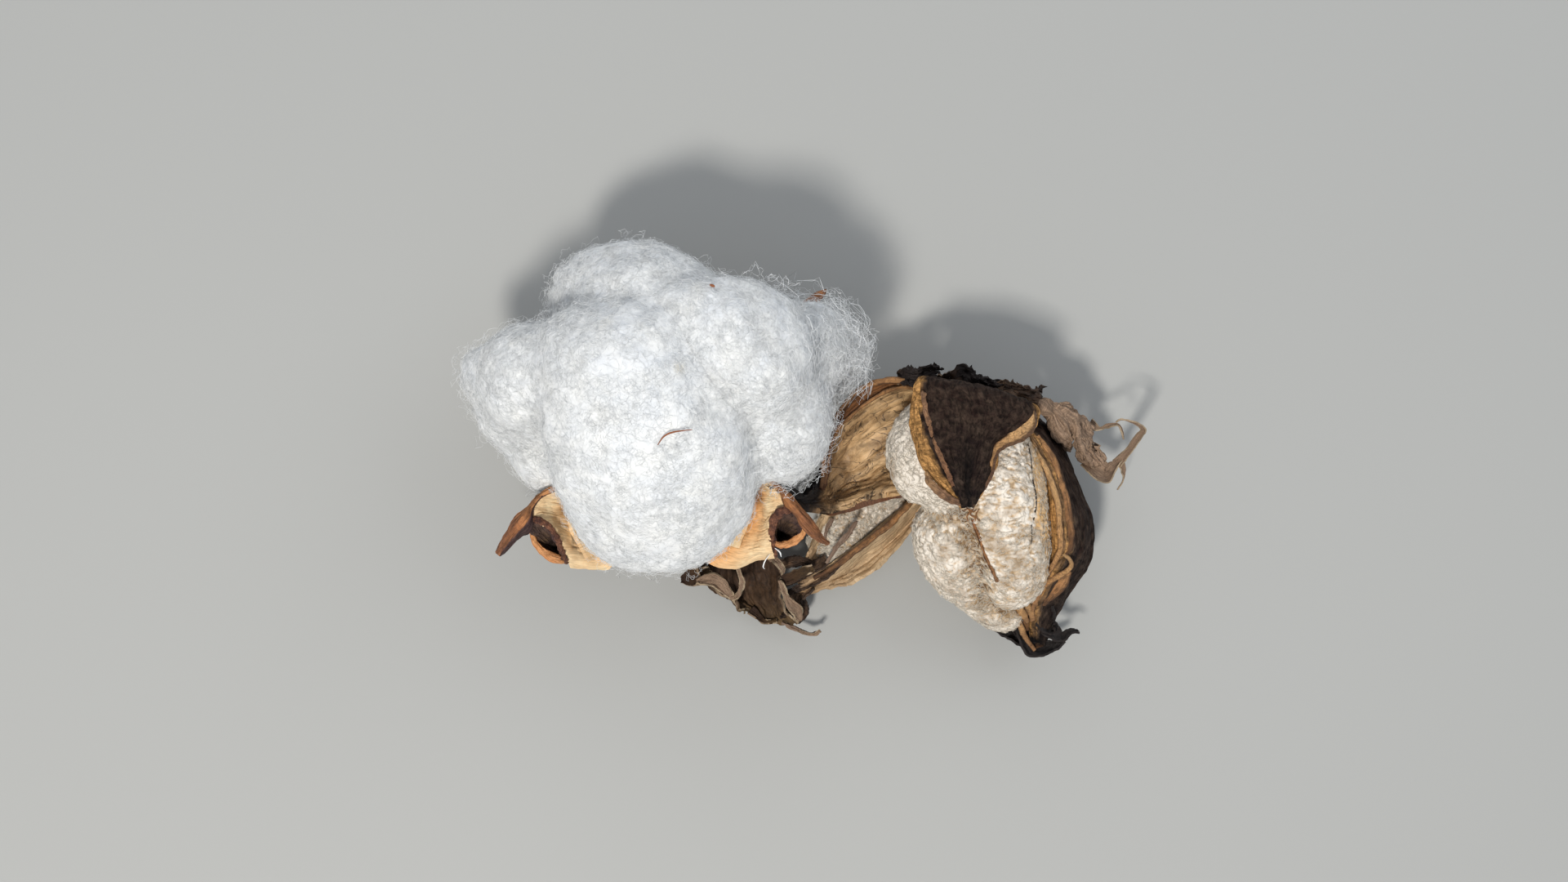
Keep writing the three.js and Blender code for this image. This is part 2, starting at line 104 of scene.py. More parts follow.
def glide(stops: Sequence, u: np.ndarray) -> np.ndarray:
    """Smooth curve through evenly spaced stops.

    Args:
        stops: numbers or points, from the curve's start to its end.
        u: places along it, from 0 to 1.

    Returns:
        One number or point for each place.
    """
    stops = np.asarray(stops, float)
    u = np.asarray(u, float)
    last = len(stops) - 1
    index = np.clip((u * last).astype(int), 0, last - 1)
    t = u * last - index
    if stops.ndim > 1:
        t = t[..., None]
    padded = np.concatenate([2 * stops[:1] - stops[1:2], stops, 2 * stops[-1:] - stops[-2:-1]])
    return hermite(*(padded[index + k] for k in range(4)), t)


def glide_rows(stops: np.ndarray, u: np.ndarray) -> np.ndarray:
    """The same curve where every place has a row of stops of its own.

    Args:
        stops: row of stops for each place.
        u: places from 0 to 1.

    Returns:
        One value for each place.
    """
    last = stops.shape[1] - 1
    index = np.clip((u * last).astype(int), 0, last - 1)
    first = 2 * stops[:, :1] - stops[:, 1:2]
    end = 2 * stops[:, -1:] - stops[:, -2:-1]
    padded = np.concatenate([first, stops, end], axis=1)
    rows = np.arange(len(u))
    return hermite(*(padded[rows, index + k] for k in range(4)), u * last - index)


def hermite(p0: np.ndarray, p1: np.ndarray, p2: np.ndarray, p3: np.ndarray, t: np.ndarray) -> np.ndarray:
    """Cubic between p1 and p2, with slopes taken from the stops on either side.

    Args:
        p0: stop before.
        p1: start.
        p2: end.
        p3: stop after.
        t: share of the way, from 0 to 1.

    Returns:
        The values there.
    """
    m1 = (p2 - p0) / 2
    m2 = (p3 - p1) / 2
    cubic = 2 * p1 - 2 * p2 + m1 + m2
    return ((cubic * t + (3 * p2 - 3 * p1 - 2 * m1 - m2)) * t + m1) * t + p1


def unit(vectors: np.ndarray) -> np.ndarray:
    """Vectors at length one."""
    length = np.linalg.norm(vectors, axis=-1, keepdims=True)
    return vectors / np.maximum(length, 1e-9)


def dots(a: np.ndarray, b: np.ndarray) -> np.ndarray:
    """Dot product of each pair of rows, kept as a column."""
    return np.sum(a * b, axis=-1, keepdims=True)


def rough(points: np.ndarray, scale: float, octaves: int = 3, offset: float = 0.0) -> np.ndarray:
    """Smooth random height at each point.

    Args:
        points: places in plan millimetres.
        scale: size of the largest bumps in millimetres.
        octaves: how many finer layers are added.
        offset: moves the pattern, so that two uses differ.

    Returns:
        Heights from about -1 to 1.
    """
    moved = np.asarray(points) / scale + offset
    return np.array([noise.fractal(Vector(p), 1.0, 2.0, octaves) for p in moved])


def creased(points: np.ndarray, scale: float, offset: float = 0.0) -> np.ndarray:
    """Random height with sharp valleys, from 0 in a crease to about 1 between creases."""
    moved = np.asarray(points) / scale + offset
    return np.array([abs(noise.noise(Vector(p))) for p in moved]) * 2


def deselect() -> None:
    """Leaves nothing selected, in object mode."""
    if bpy.context.object and bpy.context.object.mode != "OBJECT":
        bpy.ops.object.mode_set(mode="OBJECT")
    bpy.ops.object.select_all(action="DESELECT")


def take(name: str) -> Piece:
    """Names the primitive that was just added.

    Args:
        name: the new name.

    Returns:
        The primitive.
    """
    piece = bpy.context.object
    piece.name = name
    piece.data.name = name
    return piece


def corners(piece: Piece) -> np.ndarray:
    """A piece's vertices, one row each.

    Args:
        piece: the piece.

    Returns:
        Points as an array.
    """
    flat = np.empty(len(piece.data.vertices) * 3)
    piece.data.vertices.foreach_get("co", flat)
    return flat.reshape(-1, 3)


def normals(piece: Piece) -> np.ndarray:
    """A piece's vertex normals, one row each.

    Args:
        piece: the piece.

    Returns:
        Directions as an array.
    """
    flat = np.empty(len(piece.data.vertices) * 3)
    piece.data.vertices.foreach_get("normal", flat)
    return flat.reshape(-1, 3)


def move_to(piece: Piece, points: np.ndarray) -> None:
    """Puts a piece's vertices at the given points."""
    piece.data.vertices.foreach_set("co", np.ascontiguousarray(points, dtype=float).ravel())
    piece.data.update()


def headed(stops: Sequence, u: np.ndarray, step: float = 0.01) -> np.ndarray:
    """Unit direction along a smooth curve, read over a step on either side of each place."""
    return unit(glide(stops, np.minimum(u + step, 1)) - glide(stops, np.maximum(u - step, 0)))


def cells(a: np.ndarray, b: np.ndarray | float, c: float = 0.0) -> np.ndarray:
    """Points for a pattern, from three values for each place."""
    return np.stack(np.broadcast_arrays(a, b, c), axis=1)


def gridded(name: str, rows: int, columns: int) -> tuple[Piece, np.ndarray, np.ndarray]:
    """A flat grid, with each vertex's place along it from 0 to 1 and across it from -1 to 1.

    Args:
        name: the piece's name.
        rows: steps along it.
        columns: steps across it.

    Returns:
        The grid and its places along and across.
    """
    deselect()
    bpy.ops.mesh.primitive_grid_add(x_subdivisions=rows, y_subdivisions=columns, size=1, calc_uvs=True)
    piece = take(name)
    flat = corners(piece)
    return piece, flat[:, 0] + 0.5, flat[:, 1] * 2


def coat_with(piece: Piece, *coats: bpy.types.Material) -> None:
    """Fills a piece's material slots."""
    for coat in coats:
        piece.data.materials.append(coat)


def thicken(piece: Piece, wall: float, **settings: object) -> None:
    """Gives a sheet its wall in millimetres, with slots for its inner side and rim."""
    apply(piece, "SOLIDIFY", thickness=wall * MM, offset=0.0, material_offset=Face.INNER.value,
          material_offset_rim=Face.RIM.value, **settings)


def apply(piece: Piece, kind: str, **settings: object) -> None:
    """Adds one modifier with the given settings and applies it.

    Args:
        piece: the piece.
        kind: the modifier's kind.
        settings: its settings by name.
    """
    deselect()
    piece.select_set(True)
    bpy.context.view_layer.objects.active = piece
    modifier = piece.modifiers.new(kind.lower(), kind)
    for key, value in settings.items():
        setattr(modifier, key, value)
    bpy.ops.object.modifier_apply(modifier=modifier.name)


def smooth(piece: Piece, degrees: float = 50.0) -> None:
    """Shades a piece smooth, apart from edges sharper than the angle.

    Args:
        piece: the piece.
        degrees: the angle.
    """
    deselect()
    piece.select_set(True)
    bpy.context.view_layer.objects.active = piece
    bpy.ops.object.shade_smooth_by_angle(angle=math.radians(degrees))


def joined(name: str, pieces: Sequence[Piece]) -> Piece:
    """Joins pieces into the first of them.

    Args:
        name: the new name.
        pieces: the pieces.

    Returns:
        The joined piece.
    """
    deselect()
    for piece in pieces:
        piece.select_set(True)
    bpy.context.view_layer.objects.active = pieces[0]
    if len(pieces) > 1:
        bpy.ops.object.join()
    return take(name)


def store(piece: Piece, name: str, values: np.ndarray) -> None:
    """Keeps one number for each vertex, which a material can read by name."""
    attribute = piece.data.attributes.new(name, "FLOAT", "POINT")
    attribute.data.foreach_set("value", np.asarray(values, dtype=np.float32))


def settle(piece: Piece, slot: str, *nodes: str) -> None:
    """Rides a piece on the body and hides the solids that it stands for.

    Args:
        piece: the piece.
        slot: not used.
        nodes: solids that it replaces.
    """
    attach(piece, BODY)
    if nodes:
        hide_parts(*nodes)
    LOG.info("%s: %d faces", piece.name, len(piece.data.polygons))


class Board:
    """A material's node tree, with short ways to add and join nodes."""

    def __init__(self, tree: bpy.types.NodeTree) -> None:
        """Keeps the tree that nodes are added to."""
        self.tree = tree

    def add(self, kind: str, **settings: object) -> bpy.types.Node:
        """Adds a node and sets its properties.

        Args:
            kind: the node's kind.
            settings: its properties by name.

        Returns:
            The node.
        """
        node = self.tree.nodes.new(kind)
        for key, value in settings.items():
            setattr(node, key, value)
        return node

    def link(self, source: object, target: object) -> None:
        """Joins an output to an input, or sets the input to a plain value.

        Args:
            source: an output, number or tuple.
            target: the input.
        """
        if isinstance(source, (int, float, tuple)):
            target.default_value = source
        else:
            self.tree.links.new(source, target)

    def noise(self, where: object, scale: float, detail: float = 4.0, twist: float = 0.0) -> object:
        """Noise at a scale, as a socket from 0 to 1.

        Args:
            where: point socket.
            scale: the noise's scale.
            detail: finer layers.
            twist: how far it is distorted.

        Returns:
            The noise's socket.
        """
        node = self.add("ShaderNodeTexNoise")
        self.link(where, node.inputs["Vector"])
        self.set(node, Scale=scale, Detail=detail, Distortion=twist)
        return node.outputs["Fac"]

    def stored(self, name: str) -> object:
        """One of the numbers that a piece's vertices keep, by name."""
        return self.add("ShaderNodeAttribute", attribute_name=name).outputs["Fac"]

    def ramp(self, value: object, *stops: tuple[float, Colour]) -> object:
        """Colour at a value, through stops of place and colour.

        Args:
            value: the value's socket.
            stops: places, each with its colour.

        Returns:
            The colour's socket.
        """
        node = self.add("ShaderNodeValToRGB")
        self.link(value, node.inputs["Fac"])
        elements = node.color_ramp.elements
        while len(elements) < len(stops):
            elements.new(1.0)
        for element, (place, colour) in zip(elements, stops):
            element.position = place
            element.color = (*colour, 1.0)
        return node.outputs["Color"]

    def span(self, value: object, low: float, high: float, to_low: float = 0.0,
             to_high: float = 1.0) -> object:
        """Value moved from one range to another, held at its ends.

        Args:
            value: the value's socket.
            low: start of its range.
            high: end of its range.
            to_low: start of the new range.
            to_high: end of the new range.

        Returns:
            The new value's socket.
        """
        node = self.add("ShaderNodeMapRange")
        node.clamp = True
        self.link(value, node.inputs["Value"])
        self.set(node, From_Min=low, From_Max=high, To_Min=to_low, To_Max=to_high)
        return node.outputs["Result"]

    def mix(self, amount: object, a: object, b: object) -> object:
        """Mix of two colours.

        Args:
            amount: share of the second colour.
            a: first colour.
            b: second colour.

        Returns:
            The mix's socket.
        """
        node = self.add("ShaderNodeMix", data_type="RGBA")
        self.link(amount, node.inputs["Factor"])
        for key, colour in (("A", a), ("B", b)):
            self.link((*colour, 1.0) if isinstance(colour, tuple) else colour, node.inputs[key])
        return node.outputs["Result"]

    def math(self, operation: str, a: object, b: object = 0.0) -> object:
        """One sum of two values.

        Args:
            operation: the sum's kind.
            a: first value.
            b: second value.

        Returns:
            The result's socket.
        """
        node = self.add("ShaderNodeMath", operation=operation)
        self.link(a, node.inputs[0])
        self.link(b, node.inputs[1])
        return node.outputs["Value"]

    @staticmethod
    def set(node: bpy.types.Node, **values: object) -> None:
        """Sets plain inputs, named with _ for each space."""
        for key, value in values.items():
            node.inputs[key.replace("_", " ")].default_value = value

    @staticmethod
    def tint(socket: object, colour: Colour) -> None:
        """Sets a colour socket."""
        socket.default_value = (*colour, 1.0)


def linear(red: int, green: int, blue: int) -> Colour:
    """Screen colour as linear light.

    Args:
        red: 0 to 255.
        green: 0 to 255.
        blue: 0 to 255.

    Returns:
        The three parts.
    """
    def one(value: int) -> float:
        """One channel."""
        part = value / 255
        return part / 12.92 if part <= 0.04045 else ((part + 0.055) / 1.055) ** 2.4
    return one(red), one(green), one(blue)


class Face(Enum):
    """Sides of a sheet, in the order of its material slots."""

    OUTER = 0
    INNER = 1
    RIM = 2


def effect(name: str, inputs: dict[str, float], build: Callable[[Board, object, object], object]) -> object:
    """Makes a shader node group with named inputs and one output called Value.

    Args:
        name: the group's name.
        inputs: its number inputs and their first values.
        build: fills the group, given its board, a point socket and the input sockets by name.

    Returns:
        The group, ready to place in materials.
    """
    group = bpy.data.node_groups.new(name, "ShaderNodeTree")
    group.interface.new_socket("Point", in_out="INPUT", socket_type="NodeSocketVector")
    for key, value in inputs.items():
        socket = group.interface.new_socket(key, in_out="INPUT", socket_type="NodeSocketFloat")
        socket.default_value = value
    group.interface.new_socket("Value", in_out="OUTPUT", socket_type="NodeSocketFloat")
    board = Board(group)
    source = board.add("NodeGroupInput")
    sink = board.add("NodeGroupOutput")
    board.link(build(board, source.outputs["Point"], source.outputs), sink.inputs["Value"])
    return group


def fibre_effect() -> object:
    """Streaks of fine fibre that lie along the second axis of the point.

    Returns:
        The group.
    """
    def build(board: Board, point: object, values: object) -> object:
        """Noise squeezed across the fibres and drawn out along them.

        Args:
            board: the group's board.
            point: its point socket.
            values: its other inputs.

        Returns:
            The streaks' socket.
        """
        stretch = board.add("ShaderNodeCombineXYZ")
        board.link(values["Across"], stretch.inputs["X"])
        board.link(values["Along"], stretch.inputs["Y"])
        board.link(values["Across"], stretch.inputs["Z"])
        scaled = board.add("ShaderNodeVectorMath", operation="MULTIPLY")
        board.link(point, scaled.inputs[0])
        board.link(stretch.outputs["Vector"], scaled.inputs[1])
        return board.noise(scaled.outputs["Vector"], 1.0, 5.0, 0.6)
    return effect("fibre streaks", {"Across": 60.0, "Along": 6.0}, build)


def mottle_effect() -> object:
    """Blotches with soft edges, as weather and mould leave on dry husk.

    Returns:
        The group.
    """
    def build(board: Board, point: object, values: object) -> object:
        """Coarse noise, sharpened.

        Args:
            board: the group's board.
            point: its point socket.
            values: its other inputs.

        Returns:
            The blotches' socket.
        """
        coarse = board.add("ShaderNodeTexNoise")
        board.link(point, coarse.inputs["Vector"])
        board.link(values["Scale"], coarse.inputs["Scale"])
        board.set(coarse, Detail=6.0, Roughness=0.62)
        return board.span(coarse.outputs["Fac"], 0.38, 0.62)
    return effect("mottle", {"Scale": 400.0}, build)


class Effects:
    """The shader groups that the finishes share, each made once."""

    def __init__(self) -> None:
        """Makes the groups."""
        self.fibre = fibre_effect()
        self.mottle = mottle_effect()

    @staticmethod
    def place(board: Board, group: object, point: object, **values: float) -> object:
        """Puts a group in a material with its own values.

        Args:
            board: the material's board.
            group: the group.
            point: point socket.
            values: its other inputs by name.

        Returns:
            The group's output.
        """
        node = board.add("ShaderNodeGroup", node_tree=group)
        board.link(point, node.inputs["Point"])
        board.set(node, **values)
        return node.outputs["Value"]


class Finish:
    """Base of every finish: makes the material and joins its shader."""

    name = "plain"

    def material(self, effects: Effects) -> bpy.types.Material:
        """Makes the material.

        Args:
            effects: the shared shader groups.

        Returns:
            The material, with its nodes joined.
        """
        made = bpy.data.materials.new(self.name)
        made.use_nodes = True
        shader = made.node_tree.nodes["Principled BSDF"]
        self.dress(Board(made.node_tree), shader, effects)
        return made

    def dress(self, board: Board, shader: bpy.types.Node, effects: Effects) -> None:
        """Joins the finish's own nodes to the shader."""
        raise NotImplementedError

    @staticmethod
    def bump(board: Board, shader: bpy.types.Node, height: object, strength: float,
             distance: float) -> None:
        """Joins a height to the shader's normal.

        Args:
            board: the material's board.
            shader: its shader.
            height: the height's socket.
            strength: how strongly it shows.
            distance: its depth in metres.
        """
        node = board.add("ShaderNodeBump")
        board.set(node, Strength=strength, Distance=distance)
        board.link(height, node.inputs["Height"])
        board.link(node.outputs["Normal"], shader.inputs["Normal"])


@dataclass(frozen=True)
class LintFinish(Finish):
    """Loose white lint: nearly white, faintly cool, with cream where a seed lies near."""

    name: str = "lint"
    white: Colour = linear(235, 235, 233)
    shade: Colour = linear(226, 228, 230)
    cream: Colour = linear(226, 214, 186)

    def dress(self, board: Board, shader: bpy.types.Node, effects: Effects) -> None:
        """White and pale grey by soft noise, cream by the stored seed mask.

        Args:
            board: the material's board.
            shader: its shader.
            effects: the shared groups.
        """
        point = board.add("ShaderNodeTexCoord").outputs["Object"]
        cloud = board.noise(point, 260.0, 5.0, 0.4)
        colour = board.mix(board.span(cloud, 0.35, 0.65), self.shade, self.white)
        seed = board.stored("seed")
        colour = board.mix(seed, colour, self.cream)
        board.link(colour, shader.inputs["Base Color"])
        board.set(shader, Roughness=0.95, Specular_IOR_Level=0.15, Subsurface_Weight=0.35,
                  Subsurface_Radius=(1.0, 1.0, 1.0), Subsurface_Scale=0.0015)
        fine = board.noise(point, 1900.0, 3.0, 1.6)
        self.bump(board, shader, fine, 0.2, 0.0002)


@dataclass(frozen=True)
class StrandFinish(Finish):
    """Single fibres, one plain colour."""

    name: str = "strand"
    colour: Colour = linear(234, 235, 235)
    roughness: float = 0.7

    def dress(self, board: Board, shader: bpy.types.Node, effects: Effects) -> None:
        """A plain colour, as the fibres are far finer than any pattern."""
        board.tint(shader.inputs["Base Color"], self.colour)
        board.set(shader, Roughness=self.roughness, Specular_IOR_Level=0.3)


@dataclass(frozen=True)
class HuskFinish(Finish):
    """Dry husk: streaks along the valve, blotches, and colours that change from base to tip."""

    name: str = "husk"
    base: tuple[int, int, int] = (205, 170, 110)
    middle: tuple[int, int, int] = (226, 200, 150)
    tip: tuple[int, int, int] = (190, 130, 70)
    blotch: tuple[int, int, int] = (150, 100, 60)
    blotches: float = 0.3
    across: float = 70.0
    along: float = 5.0
    scale: float = 500.0
    roughness: float = 0.55
    relief: float = 0.5
    gloss: float = 0.3
    streak_dark: float = 0.62
    lines: float = 0.0
    line_scale: float = 260.0
    band: tuple[int, int, int] = (190, 146, 94)
    char_and_shade: tuple[int, int, int] = (34, 25, 22)

    def dress(self, board: Board, shader: bpy.types.Node, effects: Effects) -> None:
        """Colour along the valve, darkened by streaks and blotches, with the streaks in relief.

        Args:
            board: the material's board.
            shader: its shader.
            effects: the shared groups.
        """
        base, middle, tip, blotch, band, char_and_shade = (
            linear(*part) for part in (self.base, self.middle, self.tip, self.blotch, self.band, self.char_and_shade))
        coordinates = board.add("ShaderNodeTexCoord")
        split = board.add("ShaderNodeSeparateXYZ")
        board.link(coordinates.outputs["UV"], split.inputs["Vector"])
        swapped = board.add("ShaderNodeCombineXYZ")
        board.link(split.outputs["Y"], swapped.inputs["X"])
        board.link(split.outputs["X"], swapped.inputs["Y"])
        streak = effects.place(board, effects.fibre, swapped.outputs["Vector"], Across=self.across,
                               Along=self.along)
        wander = board.span(board.noise(coordinates.outputs["Object"], 220.0, 4.0), 0.2, 0.8, -0.18, 0.18)
        place = board.math("ADD", split.outputs["X"], wander)
        colour = board.ramp(place, (0.0, base), (0.55, middle), (0.95, tip))
        mottle = effects.place(board, effects.mottle, coordinates.outputs["Object"], Scale=self.scale)
        colour = board.mix(board.math("MULTIPLY", mottle, self.blotches), colour, blotch)
        if self.lines:
            wave = board.noise(coordinates.outputs["Object"], self.line_scale, 3.0, 1.2)
            line = board.span(board.math("ABSOLUTE", board.math("SUBTRACT", wave, 0.5)), 0.0, 0.022,
                              self.lines, 0.0)
            colour = board.mix(line, colour, char_and_shade)
        rib = effects.place(board, effects.fibre, coordinates.outputs["UV"], Across=150.0, Along=9.0)
        ribbed = board.add("ShaderNodeVectorMath", operation="SCALE")
        ribbed.inputs[0].default_value = band
        board.link(board.span(rib, 0.35, 0.62, 0.6, 1.15), ribbed.inputs["Scale"])
        for name, colour_there in (("band", ribbed.outputs["Vector"]), ("edge", blotch), ("char_and_shade", char_and_shade)):
            share = board.stored(name)
            colour = board.mix(share, colour, colour_there)
        dark = board.span(streak, 0.36, 0.6, self.streak_dark, 1.12)
        tinted = board.add("ShaderNodeVectorMath", operation="SCALE")
        board.link(colour, tinted.inputs[0])
        board.link(dark, tinted.inputs["Scale"])
        board.link(tinted.outputs["Vector"], shader.inputs["Base Color"])
        board.link(board.span(streak, 0.3, 0.7, self.roughness + 0.15, self.roughness - 0.1),
                   shader.inputs["Roughness"])
        board.set(shader, Specular_IOR_Level=self.gloss)
        height = board.math("ADD", streak, board.math("MULTIPLY", mottle, 0.5))
        self.bump(board, shader, height, self.relief, 0.0004)


@dataclass(frozen=True)
class MattedFinish(Finish):
    """Matted lint of the dried boll: its own off-white and tan, with painted highlight on the fold ridges
    and painted shade in the brown creases.
    """

    name: str = "matted"
    # ridge: off-white brightened as painted highlight on fold tops; crease: dark brown, painted shade in
    # creases; flat: the lint's own tan
    ridge: Colour = linear(236, 226, 212)
    flat: Colour = linear(204, 176, 140)
    crease: Colour = linear(112, 84, 54)
    stained: Colour = linear(150, 122, 86)
    gilded: Colour = linear(212, 172, 120)

    def dress(self, board: Board, shader: bpy.types.Node, effects: Effects) -> None:
        """Colour by the stored height, lighter on ridges as painted highlight and darker in creases as
        painted shade, and by blotches, with a fine matted relief.

        Args:
            board: the material's board.
            shader: its shader.
            effects: the shared groups.
        """
        point = board.add("ShaderNodeTexCoord").outputs["Object"]
        height = board.stored("height")
        fine = board.noise(point, 900.0, 5.0, 0.8)
        patch = board.span(board.noise(point, 420.0, 4.0, 1.0), 0.35, 0.65, -0.1, 0.12)
        mixed = board.math("ADD", board.math("ADD", height, patch), board.span(fine, 0.3, 0.7, -0.18, 0.18))
        # painted shade where the stored height is low, painted highlight where it is high
        colour = board.ramp(mixed, (0.12, self.crease), (0.44, self.flat), (0.82, self.ridge))
        mottle = effects.place(board, effects.mottle, point, Scale=330.0)
        worn = board.stored("worn")
        stain = board.math("MULTIPLY", mottle, board.span(worn, 0.2, 0.9, 0.0, 0.85))
        colour = board.mix(stain, colour, self.stained)
        gilt = board.stored("gilt")
        colour = board.mix(gilt, colour, self.gilded)
        board.link(colour, shader.inputs["Base Color"])
        board.link(board.span(fine, 0.3, 0.7, 0.6, 0.36), shader.inputs["Roughness"])
        board.set(shader, Specular_IOR_Level=0.5)
        self.bump(board, shader, fine, 0.9, 0.0005)


@dataclass(frozen=True)
class Half:
    """One half of a valve or bract: its width, and the angle that it heads at across its width."""

    width: Row
    bend: Stops


@dataclass(frozen=True)
class Sheet:
    """A curved leaf-like sheet round a spine, whose inner side looks towards the point `face`."""

    spine: Stops
    face: Row
    near: Half
    far: Half

    def points(self, u: np.ndarray, v: np.ndarray) -> np.ndarray:
        """Points of the sheet.

        Args:
            u: places from base to tip, 0 to 1.
            v: places across, from -1 at the near edge to 1 at the far edge.

        Returns:
            One point in plan millimetres for each place.
        """
        here = glide(self.spine, u)
        along = headed(self.spine, u)
        inward = np.asarray(self.face, float) - here
        inward = unit(inward - dots(inward, along) * along)
        side = np.cross(along, inward)
        across = np.zeros(len(u))
        lift = np.zeros(len(u))
        for half, mask in ((self.near, v < 0), (self.far, v >= 0)):
            share = np.abs(v[mask])
            width = glide(half.width, u[mask]) * share / ACROSS_STEPS
            bend = glide(half.bend, u[mask])
            for k in range(ACROSS_STEPS):
                heading = np.radians(glide_rows(bend, share * (k + 0.5) / ACROSS_STEPS))
                across[mask] += np.cos(heading) * width * np.sign(v[mask])
                lift[mask] += np.sin(heading) * width
        return here + side * across[:, None] + inward * lift[:, None]


TUCKED = Half((3, 6, 6.5, 3), ((-50, -30, 0, 10), (-80, -70, -50, -30), (-90, -85, -70, -60),
                               (-90, -90, -80, -80)))
SPREAD = Half((3, 9, 10, 3), ((-20, 10, 30, 40), (-40, 10, 30, 20), (-30, 0, -30, -80),
                              (-20, -30, -80, -130)))
CUPPED = ((0, 10, 20, 30), (0, 10, 20, 30), (0, 10, 30, 50), (0, 20, 50, 80))


@dataclass(frozen=True)
class Window:
    """A part of the camera's view, enlarged, in which the stops of a net are laid out."""

    left: float
    top: float
    zoom: float

    def plan(self, stops: Sequence) -> np.ndarray:
        """Stops as plan millimetres.

        Args:
            stops: points across and down the window, and their height above the floor.

        Returns:
            The same points in the plan, in an array of the same form.
        """
        stops = np.asarray(stops, float)
        reach = (EYE_HEIGHT - stops[..., 2]) / VIEW_DEPTH
        across = (self.left + stops[..., 0] / self.zoom - VIEW_MIDDLE[0]) * reach
        up = (VIEW_MIDDLE[1] - self.top - stops[..., 1] / self.zoom) * reach
        return np.stack([across, up, stops[..., 2]], axis=-1)


OPEN_WINDOW = Window(600, 570, 4.2)
DRY_WINDOW = Window(960, 440, 3.6)


@dataclass(frozen=True)
class Net:
    """A sheet that runs smoothly through rows of stops, from base to tip, in a window."""

    window: Window
    rows: Stops

    def points(self, u: np.ndarray, v: np.ndarray) -> np.ndarray:
        """Points of the sheet at places from 0 to 1 along it and -1 to 1 across it.

        Args:
            u: places along.
            v: places across.

        Returns:
            One point for each place.
        """
        stops = self.window.plan(np.reshape(self.rows, (len(self.rows), -1, 3)))
        count, columns, _ = stops.shape
        ribs = glide(stops.reshape(count, columns * 3), u).reshape(-1, columns, 3)
        return np.stack([glide_rows(ribs[:, :, k], (v + 1) / 2) for k in range(3)], axis=1)


@dataclass(frozen=True)
class Funnel:
    """A mouth that narrows to a point inside a rolled valve."""

    window: Window
    ring: Row
    deep: Row
    narrowing: float = 1.6
    reach: float = 0.96

    def points(self, u: np.ndarray, v: np.ndarray) -> np.ndarray:
        """Points of the funnel, with u from its lip to its depth and v round it.

        Args:
            u: places inward.
            v: places round.

        Returns:
            One point for each place.
        """
        ring = self.window.plan(np.reshape(self.ring, (-1, 3)))
        deep = self.window.plan(self.deep)
        turn = (v + 1) / 2 * len(ring)
        start = np.floor(turn).astype(int)
        here = [ring[(start + k) % len(ring)] for k in (-1, 0, 1, 2)]
        lip = hermite(*here, (turn - start)[:, None])
        share = (u ** self.narrowing)[:, None] * self.reach
        return lip * (1 - share) + deep * share


@dataclass(frozen=True)
class Ribbon:
    """A narrow sheet along a curve: a tooth, an awn, a scrap or a frayed end."""

    window: Window
    spine: Row | Stops
    width: Row
    turn: Row = (0, 0)
    cup: float = 0.3

    def points(self, u: np.ndarray, v: np.ndarray) -> np.ndarray:
        """Points of the ribbon, which is turned about its spine by `turn` degrees.

        Args:
            u: places along.
            v: places across.

        Returns:
            One point for each place.
        """
        stops = self.window.plan(np.reshape(self.spine, (-1, 3)))
        here = glide(stops, u)
        along = headed(stops, u, 0.02)
        side = unit(np.cross(along, np.array([0.0, 0.0, 1.0])))
        up = np.cross(side, along)
        angle = np.radians(glide(self.turn, u))[:, None]
        width = glide(self.width, u)[:, None] / 2 * v[:, None]
        lift = self.cup * glide(self.width, u)[:, None] * (v ** 2)[:, None] / 2
        outward = side * np.cos(angle) + up * np.sin(angle)
        upward = up * np.cos(angle) - side * np.sin(angle)
        return here + outward * width + upward * lift


BAND_FADE = 0.03  # soft edge of a band, as a share of a sheet's width
OUTLINE_FADE = 0.13  # how far a dark outline reaches in from each edge
SEAM_WIDTH = 0.02
SEAM_SHARE = 0.85  # how strongly a seam shows
KEEL_WIDTH = 0.06
KEEL_SHARE = 0.9  # how strongly a keel shows
KEEL_START = 0.35  # where a keel fades in along a sheet
KEEL_FADE = 0.3
CHAR_FADE = 0.12  # length over which a charred end fades in
EDGE_WANDER = 0.05  # how far bands and outlines wander


